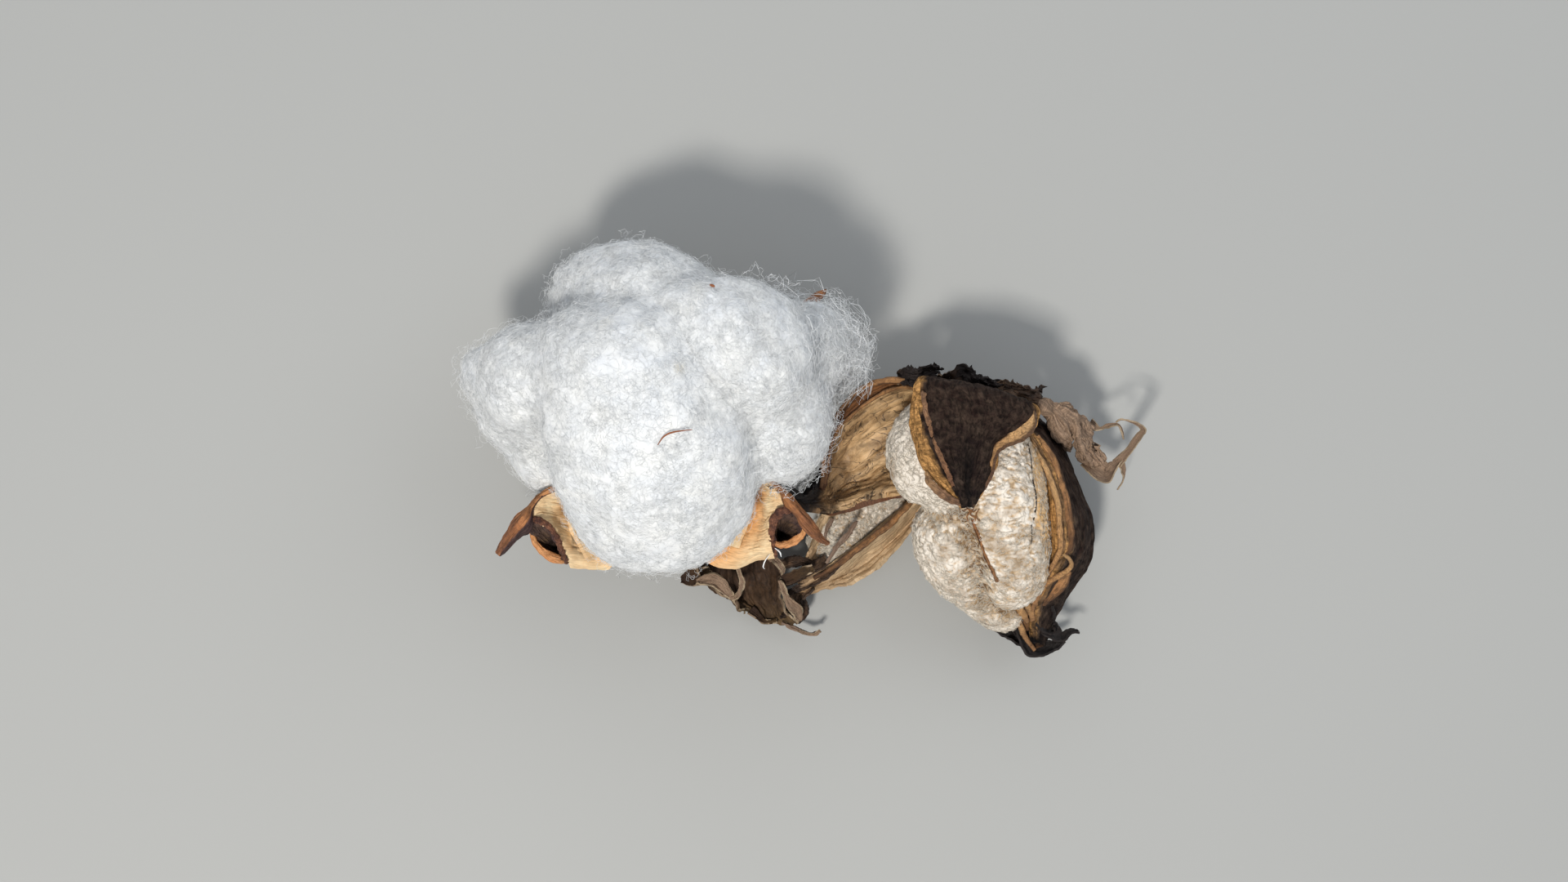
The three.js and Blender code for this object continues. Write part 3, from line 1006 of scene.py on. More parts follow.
@dataclass(frozen=True)
class Leaf:
    """Any sheet as a thin piece: its grid, its wall, its wrinkles and where its colour changes."""

    sheet: "Net | Funnel | Ribbon | Sheet"
    wall: float = 0.5
    rows: int = 36
    columns: int = 36
    wrinkle: float = 0.25
    wrinkle_size: float = 4.0
    ridges: float = 0.0
    ridge_count: float = 9.0
    band: tuple[float, float] = (-1.0, 2.0)
    char_and_shade: float = 2.0
    ragged: float = 0.0
    turned: bool = False
    seams: Row = ()
    outline: float = 0.0
    keel: float = -1.0

    def build(self, name: str, coats: Sequence[bpy.types.Material]) -> Piece:
        """Makes the piece.

        Args:
            name: its name.
            coats: its materials for the outer side, the inner side and the rim.

        Returns:
            The finished piece, with its band and its charred end stored for the material.
        """
        piece, u, v = gridded(name, self.rows, self.columns)
        torn = 1 - self.ragged * np.abs(rough(cells(v * 5, 3.0), 1.0, 4, self.wall))
        side = 1 - self.ragged * 0.5 * np.abs(rough(cells(u * 7, np.sign(v) * 3), 1.0, 4, 5.0))
        sheet = self.sheet.points(u * torn, v * side)
        move_to(piece, placed(sheet))
        height = self.wrinkle * rough(sheet, self.wrinkle_size, 4, 3.0)
        warped = v * self.ridge_count + 0.8 * rough(sheet, 5.0, 2, 11.0)
        height += self.ridges * creased(cells(warped, u * 1.5), 1.0, 6.0)
        move_to(piece, placed(sheet) + normals(piece) * height[:, None] * MM)
        edge = EDGE_WANDER * rough(sheet, 3.0, 3, 1.0)
        across = (v + 1) / 2 + edge
        before = np.clip((self.band[0] - across) / BAND_FADE, 0, 1)
        after = np.clip((across - self.band[1]) / BAND_FADE, 0, 1)
        store(piece, "band", before + after)
        near_edges = np.exp(-(across / OUTLINE_FADE) ** 2) + np.exp(-((1 - across) / OUTLINE_FADE) ** 2)
        line = self.outline * near_edges
        for seam in self.seams:
            line = line + SEAM_SHARE * np.exp(-((across - seam) / SEAM_WIDTH) ** 2)
        store(piece, "edge", np.clip(line, 0, 1))
        keel = KEEL_SHARE * np.exp(-((across - self.keel) / KEEL_WIDTH) ** 2)
        keel = keel * np.clip((u - KEEL_START) / KEEL_FADE, 0, 1)
        charred = np.clip((u + 2 * edge - self.char_and_shade) / CHAR_FADE, 0, 1)
        store(piece, "char_and_shade", np.clip(keel + charred, 0, 1))
        coat_with(piece, *([coats[1], coats[0], coats[2]] if self.turned else coats))
        thicken(piece, self.wall)
        smooth(piece)
        return piece


@dataclass(frozen=True)
class Valve:
    """A valve of a bur: its sheet, its wall, and the horn and septum rim that run along its spine."""

    name: str
    sheet: Sheet
    wall: float
    horn: Stops = ()
    horn_radii: Row = (0.45, 0.6, 1.25, 0.95, 0.25)
    wrinkle: float = 0.35
    rows: int = 44
    columns: int = 52

    def build(self, coats: Sequence[bpy.types.Material]) -> Piece:
        """Makes the valve.

        Args:
            coats: its materials for the outer side, the inner side and the rim.

        Returns:
            The finished piece.
        """
        piece, u, v = gridded(self.name + "_husk", self.rows, self.columns)
        edge = 1 + 0.035 * rough(cells(u * 9, np.sign(v) * 3), 1.0)
        move_to(piece, placed(self.sheet.points(u, v * edge)))
        self.crumple(piece)
        coat_with(piece, *coats)
        thicken(piece, self.wall, use_even_offset=False)
        apply(piece, "SUBSURF", levels=1, render_levels=1)
        if self.horn:
            horn = taper(self.name + "_horn", self.horn, self.horn_radii, 14, 40)
            coat_with(horn, *coats)
            horn.data.polygons.foreach_set("material_index", [Face.RIM.value] * len(horn.data.polygons))
            piece = joined(self.name + "_husk", [piece, horn])
        smooth(piece)
        return piece

    def crumple(self, piece: Piece) -> None:
        """Wrinkles the sheet along its own normals.

        Args:
            piece: the sheet.
        """
        points = corners(piece)
        plan = planned(points)
        height = self.wrinkle * rough(plan, 6.0, 3) + 0.4 * self.wrinkle * rough(plan, 1.6, 3, 7.0)
        move_to(piece, points + normals(piece) * height[:, None] * MM)


def laid(window: Window, stops: Stops, grounds: Sequence[Piece],
         lift: float) -> list[list[float]]:
    """Stops moved onto the surface that the camera sees at each of them.

    Args:
        window: the window that the stops are laid out in.
        stops: points across and down the window.
        grounds: the pieces that they lie on.
        lift: how far above the surface they stay.

    Returns:
        The stops, each with the height found.
    """
    depsgraph = bpy.context.evaluated_depsgraph_get()
    trees = [BVHTree.FromObject(ground, depsgraph) for ground in grounds]
    eye = Vector(placed(np.array([0.0, 0.0, EYE_HEIGHT])))
    found = []
    for across, down, *_ in stops:
        aim = Vector(placed(window.plan([across, down, 0.0])))
        hits = [tree.ray_cast(eye, (aim - eye).normalized()) for tree in trees]
        tops = [planned(np.array(hit[0]))[2] for hit in hits if hit[0] is not None]
        found.append([across, down, max(tops, default=0.0) + lift])
    return found


def taper(name: str, stops: Stops, radii: Row, sides: int, rows: int) -> Piece:
    """Round bar along a smooth curve, with its ends closed and its sides a little uneven.

    Args:
        name: the piece's name.
        stops: its middle line in plan millimetres.
        radii: its radius at even steps along the line.
        sides: corners round it.
        rows: steps along it.

    Returns:
        The bar, with a UV map that runs along and round it.
    """
    deselect()
    bpy.ops.mesh.primitive_cylinder_add(vertices=sides, radius=1, depth=1, calc_uvs=True)
    piece = take(name)
    bpy.ops.object.mode_set(mode="EDIT")
    bpy.ops.mesh.select_all(action="DESELECT")
    bpy.ops.object.mode_set(mode="OBJECT")
    for side in piece.data.edges:
        low, high = (piece.data.vertices[k].co for k in side.vertices)
        side.select = abs(low.z - high.z) > 0.5
    bpy.ops.object.mode_set(mode="EDIT")
    bpy.ops.mesh.select_mode(type="EDGE")
    bpy.ops.mesh.subdivide(number_cuts=rows - 1)
    bpy.ops.object.mode_set(mode="OBJECT")
    flat = corners(piece)
    u = np.clip(flat[:, 2] + 0.5, 0, 1)
    centre = glide(stops, u)
    along = headed(stops, u)
    side = unit(np.cross(along, np.array([0.21, 0.13, 0.97])))
    other = np.cross(along, side)
    radius = glide(radii, u)[:, None]
    ring = side * flat[:, :1] + other * flat[:, 1:2]
    uneven = 1 + 0.12 * rough(centre * 0.5 + ring * 2, 1.2, 2)[:, None]
    move_to(piece, placed(centre + ring * radius * uneven))
    return piece


@dataclass(frozen=True)
class Bract:
    """A dried bract: a thin crumpled sheet, cut into teeth along its far edge."""

    name: str
    sheet: Sheet
    teeth: int = 7
    cut: float = 0.3
    wall: float = 0.35
    crumple: float = 0.9
    rows: int = 60
    columns: int = 84

    def build(self, coats: Sequence[bpy.types.Material]) -> Piece:
        """Makes the bract, given its materials for the outer side, inner side and rim.

        Args:
            coats: the materials.

        Returns:
            The finished piece.
        """
        piece, u, v = gridded(self.name + "_leaf", self.rows, self.columns)
        wave = np.abs(((v + 1) / 2 * self.teeth) % 1 - 0.5) * 2
        length = 1 - self.cut * wave ** 1.4 - 0.12 * np.abs(v) ** 3
        length *= 1 + 0.08 * rough(cells(v * 4, 0.0), 1.0)
        pinch = 1 - 0.12 * np.clip(u - 0.7, 0, 1) * wave
        points = self.sheet.points(np.clip(u * length, 0, 1), v * pinch)
        move_to(piece, placed(points))
        plan = planned(corners(piece))
        fold = self.crumple * rough(plan, 5.0, 3, 3.0) * np.clip(u * 2, 0.1, 1)
        veins = 0.18 * creased(cells(v * 6, u * 1.2), 1.0)
        curl = 1.6 * np.clip(u - 0.75, 0, 1) * rough(cells(v * 5, u * 2), 1.0, 2, 9.0)
        shift = normals(piece) * (fold + veins + 3 * curl)[:, None]
        lifted = plan + shift
        lifted[:, 2] = np.maximum(lifted[:, 2], self.wall * 0.6)
        move_to(piece, placed(lifted))
        coat_with(piece, *coats)
        thicken(piece, self.wall)
        smooth(piece)
        return piece


@dataclass(frozen=True)
class Lock:
    """A lock of lint: a chain of swellings from the boll's middle to its outer end."""

    name: str
    chain: Stops
    depth: Row
    crown: Row
    breadth: float = 1.0
    height: float = 1.0
    detail: int = 7

    def depth_at(self, points: np.ndarray) -> np.ndarray:
        """How far each point is outside the lock, below zero inside it.

        Args:
            points: the points.

        Returns:
            One distance for each point.
        """
        start = np.asarray(self.chain[0], float)
        heading = unit((np.asarray(self.chain[-1], float) - start) * (1, 1, 0))
        across = np.array([-heading[1], heading[0], 0.0])
        total = np.zeros(len(points))
        for t in np.linspace(0, 1, LOCK_SWELLINGS):
            offset = points - glide(self.chain, np.array([t]))[0]
            sideways = offset @ across
            offset = offset + across * (sideways / self.breadth - sideways)[:, None]
            offset[:, 2] /= self.height
            radius = glide(self.depth, np.array([t]))[0]
            total += np.exp(-(np.linalg.norm(offset, axis=1) - radius) / LOCK_BLEND)
        return -np.log(total) * LOCK_BLEND


@dataclass
class Fleece:
    """A boll's lint: locks that share one soft outline, each a piece of its own."""

    locks: Sequence[Lock]
    melt: float
    groove_width: float = 3.0
    overlap: float = 0.8
    reach: float = 60.0
    skin: float = 0.4

    def outline(self, points: np.ndarray) -> np.ndarray:
        """How far each point is outside all the locks together."""
        total = sum(np.exp(-lock.depth_at(points) / self.melt) for lock in self.locks)
        return -np.log(total) * self.melt

    def outward(self, points: np.ndarray) -> np.ndarray:
        """Direction straight out of the shared outline at each point.

        Args:
            points: the points.

        Returns:
            One direction for each point.
        """
        step = 0.05
        slope = []
        for axis in np.eye(3):
            slope.append(self.outline(points + step * axis) - self.outline(points - step * axis))
        return unit(np.stack(slope, axis=1))

    def groove(self, lock: Lock, points: np.ndarray) -> np.ndarray:
        """How near each point is to a neighbour, from 0 away from it to 1 where two locks meet.

        Args:
            lock: the lock.
            points: points on it.

        Returns:
            One share for each point.
        """
        own = lock.depth_at(points)
        gap = np.min([other.depth_at(points) - own for other in self.locks if other is not lock], axis=0)
        return np.exp(-(gap / self.groove_width) ** 2) + 0.5 * np.clip(-gap / self.overlap, 0, 1)

    def outside(self, lock: Lock, points: np.ndarray) -> np.ndarray:
        """Whether each point has left the lock, by its outline or into a neighbour.

        Args:
            lock: the lock.
            points: the points.

        Returns:
            One answer for each point.
        """
        own = lock.depth_at(points)
        left = self.outline(points) > 0
        for other in self.locks:
            if other is not lock:
                left |= own > other.depth_at(points) + self.overlap
        return left

    def shape(self, lock: Lock, step: float = 1.0) -> tuple[Piece, np.ndarray]:
        """Makes one lock's smooth form.

        Args:
            lock: the lock.
            step: how far apart the first probes along each ray are.

        Returns:
            The piece, and whether each vertex lies on the outline rather than at a neighbour.
        """
        deselect()
        bpy.ops.mesh.primitive_ico_sphere_add(subdivisions=lock.detail, radius=1)
        piece = take(lock.name + "_lint")
        rays = unit(corners(piece))
        centre = np.asarray(lock.crown, float)
        far = np.full(len(rays), 0.0)
        going = np.ones(len(rays), bool)
        while going.any() and far.max() < self.reach:
            far[going] += step
            going[going] = ~self.outside(lock, centre + rays[going] * far[going, None])
        near = np.maximum(far - step, 0)
        for _ in range(HALVINGS):
            middle = (near + far) / 2
            gone = self.outside(lock, centre + rays * middle[:, None])
            far = np.where(gone, middle, far)
            near = np.where(gone, near, middle)
        points = centre + rays * near[:, None]
        free = self.outline(points) > -self.skin
        move_to(piece, placed(points))
        return piece, free


FIBRE_LENGTHS = (0.5, 1.5)  # shortest and longest fibre, as a share of the usual length
FIBRE_RADII = (0.7, 1.3)
TUFT_SPREAD = 0.9  # how far the fibres of a tuft turn apart, in radians
SKIN_GAP = 0.04  # from a lock to the fibres that lie on it
WAVE = 0.35  # how strongly a fibre's height changes along it
LEAST_SHARE = 0.03  # fibres that even the calmest part keeps


def strands(name: str, lines: np.ndarray, up: np.ndarray, radius: np.ndarray) -> Piece:
    """Fibres as three-sided tubes, all in one piece.

    Args:
        name: the piece's name.
        lines: points of each fibre in plan millimetres, fibre by point by axis.
        up: a direction for each fibre that its tube is turned by.
        radius: each fibre's radius.

    Returns:
        The piece.
    """
    count, steps, _ = lines.shape
    along = unit(np.gradient(lines, axis=1))
    side = unit(np.cross(along, up[:, None, :]))
    other = np.cross(along, side)
    thin = np.sin(np.linspace(0.35, math.pi - 0.35, steps)) ** 0.5
    reach = radius[:, None, None] * thin[None, :, None]
    rings = []
    for k in range(3):
        turn = 2 * math.pi * k / 3
        rings.append(lines + side * reach * math.cos(turn) + other * reach * math.sin(turn))
    points = np.stack(rings, axis=2).reshape(-1, 3)
    first = (np.arange(count) * steps * 3)[:, None, None]
    ring = (np.arange(steps - 1) * 3)[None, :, None]
    corner = np.arange(3)[None, None, :]
    a = first + ring + corner
    b = first + ring + (corner + 1) % 3
    quads = np.stack([a, b, b + 3, a + 3], axis=-1).reshape(-1, 4)
    start = first[:, 0, 0]
    end = start + (steps - 1) * 3
    caps = np.concatenate([np.stack([start + 2, start + 1, start], 1),
                           np.stack([end, end + 1, end + 2], 1)])
    mesh = bpy.data.meshes.new(name)
    mesh.from_pydata(placed(points).tolist(), [], quads.tolist() + caps.tolist())
    mesh.shade_smooth()
    piece = bpy.data.objects.new(name, mesh)
    bpy.context.scene.collection.objects.link(piece)
    return piece


def eased(noise: np.ndarray, reach: int) -> np.ndarray:
    """Draws chance values out along their rows.

    Args:
        noise: the values, a row for each fibre.
        reach: how many neighbours each value is mixed with.

    Returns:
        Values as strong as before that change slowly along each row.
    """
    kernel = np.ones(reach) / math.sqrt(reach)
    return np.apply_along_axis(np.convolve, 1, noise, kernel, mode="same")


@dataclass(frozen=True)
class Wool:
    """How fibres lie on a lock: in tufts that share a heading, each fibre with its own crimp."""

    tufts: int
    per_tuft: int
    length: float
    lift: float
    crimp: float
    radius: float
    steps: int = 9
    spread: float = 0.8
    loft: float = 2.5
    drawn: float = 0.0
    curl: float = 0.48

    def comb(self, name: str, piece: Piece, free: np.ndarray, rng: np.random.Generator,
             weigh: Callable[[np.ndarray], np.ndarray] | None = None) -> list[Piece]:
        """Lays fibres over a lock.

        Args:
            name: the new pieces' name.
            piece: the lock, in metres.
            free: whether each of its vertices lies on the outline.
            rng: the seeded source of chance.
            weigh: optional, how much longer and looser fibres are at each root.

        Returns:
            The fibres, in pieces small enough to stay quick.
        """
        tree = BVHTree.FromObject(piece, bpy.context.evaluated_depsgraph_get())
        faces = np.array([list(p.vertices) for p in piece.data.polygons])
        plan = planned(corners(piece))
        open_faces = faces[free[faces].all(axis=1)]
        a, b, c = (plan[open_faces[:, k]] for k in range(3))
        slope = np.cross(b - a, c - a)
        area = np.linalg.norm(slope, axis=1)
        area *= np.clip(0.9 + slope[:, 2] / np.maximum(area, 1e-9), 0.12, 1.3)
        if weigh is not None and self.drawn:
            area *= np.maximum(weigh((a + b + c) / 3) - 1, 0) ** self.drawn + LEAST_SHARE
        chosen = rng.choice(len(open_faces), self.tufts, p=area / area.sum())
        roots = (a[chosen] + b[chosen] + c[chosen]) / 3
        count = self.tufts * self.per_tuft
        here = np.repeat(roots, self.per_tuft, axis=0) + rng.normal(0, self.spread, (count, 3))
        loose = np.ones(count) if weigh is None else weigh(here)
        turn = np.repeat(rng.uniform(0, 2 * math.pi, self.tufts), self.per_tuft)
        turn = turn + rng.normal(0, TUFT_SPREAD, count)
        length = self.length * loose * rng.uniform(*FIBRE_LENGTHS, count)
        height = self.lift * loose * rng.uniform(0.0, 1.0, count) ** self.loft
        bend = self.crimp * eased(rng.normal(0, 1, (count, self.steps)), self.steps // 4)
        bend += rng.normal(0, self.curl, (count, 1))
        wave = WAVE * eased(rng.normal(0, 1, (count, self.steps)), self.steps // 4)
        lines = np.empty((count, self.steps, 3))
        up = np.empty((count, 3))
        heading = None
        for k in range(self.steps):
            found = [tree.find_nearest(Vector(p)) for p in placed(here)]
            skin = planned(np.array([hit[0] for hit in found]))
            out = np.array([hit[1] for hit in found])
            if heading is None:
                side = unit(np.cross(out, np.array([0.31, 0.17, 0.93])))
                heading = side * np.cos(turn)[:, None] + np.cross(out, side) * np.sin(turn)[:, None]
                up[:] = out
            heading = unit(heading - dots(heading, out) * out)
            bow = math.sin(math.pi * min(1.0, 0.1 + 0.85 * k / (self.steps - 1)))
            lift = SKIN_GAP + height * (0.3 + bow) + np.abs(height * wave[:, k])
            lines[:, k] = skin + out * lift[:, None]
            sideways = np.cross(out, heading)
            angle = bend[:, k:k + 1]
            heading = heading * np.cos(angle) + sideways * np.sin(angle)
            here = skin + heading * (length / (self.steps - 1))[:, None]
        radius = self.radius * rng.uniform(*FIBRE_RADII, count)
        parts = math.ceil(count * (self.steps - 1) * 6 / MOST_TRIANGLES)
        share = np.array_split(np.arange(count), parts)
        return [strands(f"{name}_{k}", lines[rows], up[rows], radius[rows]) for k, rows in enumerate(share)]


# Stops of the open boll's front parts, across and down the window and above the floor.
OPEN_LEFT_WALL = Net(OPEN_WINDOW, (
    (420, 90, 19, 440, 170, 18, 450, 240, 17, 480, 320, 16, 520, 390, 16, 600, 430, 15, 700, 470, 15),
    (385, 100, 23, 378, 160, 21.5, 392, 230, 20.5, 420, 300, 19.5, 440, 370, 18.5, 505, 440, 17.5, 640,
     495, 15.5),
    (365, 105, 24.5, 335, 150, 23.8, 325, 215, 23.2, 355, 285, 22.2, 400, 360, 20.5, 450, 440, 18.5, 600,
     527, 15),
    (352, 112, 25, 285, 152, 25, 238, 210, 25.3, 268, 275, 25.6, 338, 332, 24.2, 382, 428, 21.3, 490, 520,
     15.5),
    (349, 117, 24.5, 268, 160, 24.8, 218, 234, 25.3, 244, 276, 25.2, 325, 338, 23.8, 374, 430, 21, 412,
     515, 16.5)))
OPEN_RIGHT_WALL = Net(OPEN_WINDOW, (
    (1375, 60, 20, 1370, 130, 19, 1360, 210, 18, 1330, 290, 17, 1270, 370, 16, 1190, 420, 15, 1100, 480,
     14),
    (1395, 60, 23.5, 1400, 120, 22, 1405, 200, 20.5, 1385, 300, 19, 1330, 380, 17.5, 1240, 450, 16, 1165,
     520, 14),
    (1400, 62, 24.8, 1425, 125, 23.8, 1432, 205, 22.8, 1416, 300, 21, 1380, 380, 19, 1310, 455, 16.8, 1260,
     523, 13.8),
    (1402, 64, 25.3, 1455, 125, 25.2, 1480, 200, 25, 1450, 280, 23.6, 1435, 360, 21.5, 1385, 440, 18.8,
     1350, 486, 15),
    (1404, 66, 25, 1480, 135, 25.4, 1512, 212, 25.6, 1464, 272, 24, 1449, 355, 22, 1454, 430, 19.5, 1465,
     466, 16.5)))
OPEN_LEFT_HORN = Net(OPEN_WINDOW, (
    (348, 103, 25.3, 350, 107, 25.7, 352, 111, 25.4),
    (254, 153, 26, 257, 157, 26.5, 260, 162, 26.1),
    (203, 211, 26.2, 209, 218, 27, 216, 228, 26.6),
    (168, 237, 25.8, 190, 264, 27.6, 218, 296, 26.5),
    (138, 261, 25.2, 164, 300, 27.4, 204, 338, 25.6),
    (110, 308, 24.2, 130, 336, 25.9, 162, 357, 24.6),
    (81, 360, 23, 97, 381, 24.2, 119, 395, 23.2),
    (57, 406, 21.6, 66, 420, 22.4, 83, 435, 21.7),
    (42, 448, 20.5, 46, 452, 20.8, 54, 455, 20.6)))
OPEN_RIGHT_HORN = Net(OPEN_WINDOW, (
    (1390, 44, 25.3, 1392, 48, 25.7, 1395, 53, 25.4),
    (1445, 78, 26, 1447, 83, 26.5, 1450, 89, 26.1),
    (1490, 110, 26.6, 1492, 121, 27.2, 1495, 134, 26.6),
    (1543, 155, 27.2, 1534, 180, 28.3, 1525, 208, 27),
    (1588, 208, 27.2, 1578, 232, 28.3, 1572, 256, 27.2),
    (1642, 270, 26.2, 1626, 292, 27.2, 1608, 320, 26),
    (1688, 331, 24, 1673, 346, 25, 1652, 362, 24),
    (1726, 385, 21.6, 1718, 389, 22, 1704, 391, 21.6),
    (1742, 402, 20.5, 1740, 403, 20.6, 1736, 402, 20.5)))
OPEN_LEFT_MOUTH = Funnel(OPEN_WINDOW,
    (205, 330, 24.5, 206, 290, 26, 256, 292, 26, 303, 325, 25.2, 344, 388, 23.6, 372, 450, 21.5, 380,
     474, 20.4, 335, 470, 19.6, 284, 440, 19.4, 240, 398, 20, 216, 352, 22),
    (372, 436, 15))
OPEN_RIGHT_MOUTH = Funnel(OPEN_WINDOW,
    (1458, 300, 24, 1488, 256, 26, 1530, 240, 27, 1568, 246, 26.8, 1600, 282, 26, 1608, 328, 24, 1578,
     378, 22, 1525, 402, 20.8, 1478, 408, 19.8, 1454, 356, 21.8),
    (1486, 366, 14))
OPEN_LEFT_RIDGE = Ribbon(OPEN_WINDOW,
    (206, 276, 26.6, 246, 280, 26.9, 294, 304, 26.2, 338, 358, 24.8, 362, 420, 22.8, 382, 474, 20.6,
     394, 500, 18.6),
    (0.5, 0.75, 0.75, 0.75, 0.7, 0.7, 0.5), (0, 0), -0.5)
OPEN_RIGHT_RIDGE = Ribbon(OPEN_WINDOW,
    (1470, 466, 17, 1453, 416, 20, 1447, 356, 22.4, 1455, 296, 24.4, 1482, 250, 26.2, 1526, 228, 27.2,
     1570, 234, 27.2, 1604, 270, 26.4, 1616, 312, 24.8),
    (0.4, 0.8, 0.9, 1.1, 1.2, 1.0, 0.8, 0.8, 0.5), (0, 0), -0.5)
OPEN_LEFT_LIP = Ribbon(OPEN_WINDOW,
    (212, 344, 23, 231, 393, 21, 270, 439, 20.2, 316, 472, 20, 352, 484, 20, 388, 494, 18.8),
    (0.25, 0.7, 1.05, 1.3, 1.3, 0.9), (0, 0), -0.5)
OPEN_RIGHT_LIP = Ribbon(OPEN_WINDOW,
    (1622, 320, 24.4, 1606, 352, 23.4, 1574, 386, 22.2, 1532, 406, 21.2, 1488, 408, 20.4, 1462, 396,
     20.4),
    (0.4, 0.9, 1.1, 1.1, 0.8, 0.4), (0, 0), -0.5)
OPEN_BRACT = Net(OPEN_WINDOW, (
    (1040, 440, 9, 1130, 430, 8, 1220, 425, 7.5, 1310, 425, 7.5, 1400, 430, 8, 1440, 460, 9.5),
    (1064, 560, 9, 1130, 556, 6, 1220, 552, 4, 1310, 540, 3.5, 1420, 525, 5, 1500, 538, 9),
    (1082, 596, 9, 1150, 610, 5.5, 1230, 622, 2.8, 1330, 625, 2.4, 1440, 605, 4.5, 1494, 596, 9),
    (1165, 640, 8, 1205, 660, 5, 1265, 680, 2, 1350, 690, 1.8, 1450, 680, 3.8, 1506, 660, 8.5),
    (1239, 704, 6.5, 1262, 716, 4, 1305, 725, 1.8, 1385, 735, 1.6, 1475, 735, 3, 1535, 730, 7.5),
    (1252, 734, 5.5, 1285, 746, 3.5, 1345, 750, 1.6, 1420, 776, 1.5, 1500, 792, 2.5, 1562, 776, 6),
    (1270, 744, 5, 1320, 750, 3, 1372, 756, 1.6, 1444, 788, 1.5, 1530, 822, 2, 1590, 808, 4.5)))


@dataclass
class OpenBoll:
    """The open boll: a bur of four recurved valves, bracts under it, and four locks of lint."""

    lumps: float = 0.5
    slimmer: float = 0.9
    seeds: Sequence[tuple[float, float, float, float]] = (
        (-13.2, 23.9, 38, 1.5), (-27.1, 18.3, 41, 1.3), (-15.4, 11.1, 46, 0.8),
    )
    coat: Wool = Wool(tufts=1050, per_tuft=4, length=3.2, lift=0.4, crimp=0.8, radius=0.025, steps=8,
                      spread=1.1)
    fringe: Wool = Wool(tufts=190, per_tuft=3, length=4.2, lift=1.3, crimp=0.45, radius=0.02, steps=12,
                        loft=1.2)
    wisps: Wool = Wool(tufts=130, per_tuft=3, length=7.0, lift=2.0, crimp=0.25, radius=0.03, steps=20,
                       loft=0.8, drawn=1.0, curl=0.4)
    share: Row = (1.35, 1.15, 0.6, 0.9)
    groove_places: Row = (-32, -24, -12, -4)
    groove_depths: Row = (0.7, 1.0, 1.5, 2.2)
    seed_show: float = 0.7
    seed_depth: float = 4.0
    loose_place: tuple[float, float] = (11.5, 15.0)
    loose_reach: float = 4.5
    loose_gain: float = 0.8

    def hidden_valves(self) -> list[Valve]:
        """The two valves under the lint, by the frame's own rule.

        Returns:
            The valves.
        """
        right = Sheet(((-17, 2.2, 11.5), (-10, 8.5, 10), (-2.8, 16, 11.5), (2.4, 21, 13.5)), (-22, 0, 50),
                      SPREAD, SPREAD)
        left = Sheet(((-23.6, 2.2, 11.5), (-28.5, 6.5, 10), (-32.5, 11.5, 11.5), (-35.5, 16, 13.5)),
                     (-22, 0, 50), SPREAD, SPREAD)
        return [
            Valve("valve_upper_right", right, 1.2,
                  ((-6.5, 12, 11.2), (-2.2, 16.6, 12.4), (2.8, 21.3, 15), (5.2, 23.6, 15),
                   (7, 25.3, 12.5))),
            Valve("valve_upper_left", left, 1.2,
                  ((-30.5, 9, 11.2), (-33, 12.6, 12.6), (-35.6, 16, 15), (-37.1, 18.3, 15),
                   (-38, 20, 12.5))),
        ]

    def front_valves(self) -> dict[str, dict[str, Leaf]]:
        """The two valves in front: a base from the seat, a wall, a rolled mouth and a horn each.

        Returns:
            The leaves of each valve by name.
        """
        left_base = Sheet(
            ((-24, -3.5, 12), (-28, -4.8, 14.5), (-32.5, -6.5, 18), (-37, -9, 22)), (-24, -2, 50),
            Half((4, 11, 13, 12), ((-30, 0, 20, 30), (-60, -20, 20, 10), (-50, 0, 10, 10),
                                   (-40, 0, 0, 0))), TUCKED)
        right_base = Sheet(
            ((-16.7, -3.5, 12), (-12.5, -3.9, 13.5), (-8, -4.6, 16), (-4, -6.4, 20)), (-20, -2, 50), TUCKED,
            Half((4, 11, 13, 12), ((-30, 0, 20, 30), (-60, -20, 20, 10), (-40, 0, 0, 0), (-30, 0, 0, 0))))
        wall = {"wrinkle": 0.3, "wrinkle_size": 3.0, "ridges": 0.22, "ridge_count": 12, "rows": 60,
                "columns": 60}
        horn = {"rows": 80, "columns": 24, "wrinkle": 0.15, "wrinkle_size": 1.5, "ridges": 0.18,
                "ridge_count": 4}
        edge = {"rows": 90, "columns": 16, "wrinkle": 0.3, "wrinkle_size": 0.8, "ridges": 0.15,
                "ridge_count": 3}
        lip = {"rows": 90, "columns": 16, "wrinkle": 0.15, "wrinkle_size": 1.0, "ridges": 0.2,
               "ridge_count": 3, "outline": 0.6}
        deep = {"rows": 30, "columns": 64, "wrinkle": 0.3, "wrinkle_size": 1.8}
        return {
            "valve_lower_left": {
                "base": Leaf(left_base, 1.1), "wall": Leaf(OPEN_LEFT_WALL, 0.8, turned=True, **wall),
                "mouth": Leaf(OPEN_LEFT_MOUTH, 0.6, **deep), "ridge": Leaf(OPEN_LEFT_RIDGE, 0.45, **edge),
                "lip": Leaf(OPEN_LEFT_LIP, 0.5, **lip),
                "horn": Leaf(OPEN_LEFT_HORN, 0.6, band=(-1.0, 0.62), **horn),
            },
            "valve_lower_right": {
                "base": Leaf(right_base, 1.1), "wall": Leaf(OPEN_RIGHT_WALL, 0.8, **wall),
                "mouth": Leaf(OPEN_RIGHT_MOUTH, 0.6, **deep),
                "ridge": Leaf(OPEN_RIGHT_RIDGE, 0.45, **edge), "lip": Leaf(OPEN_RIGHT_LIP, 0.5, **lip),
                "horn": Leaf(OPEN_RIGHT_HORN, 0.6, **horn),
            },
        }

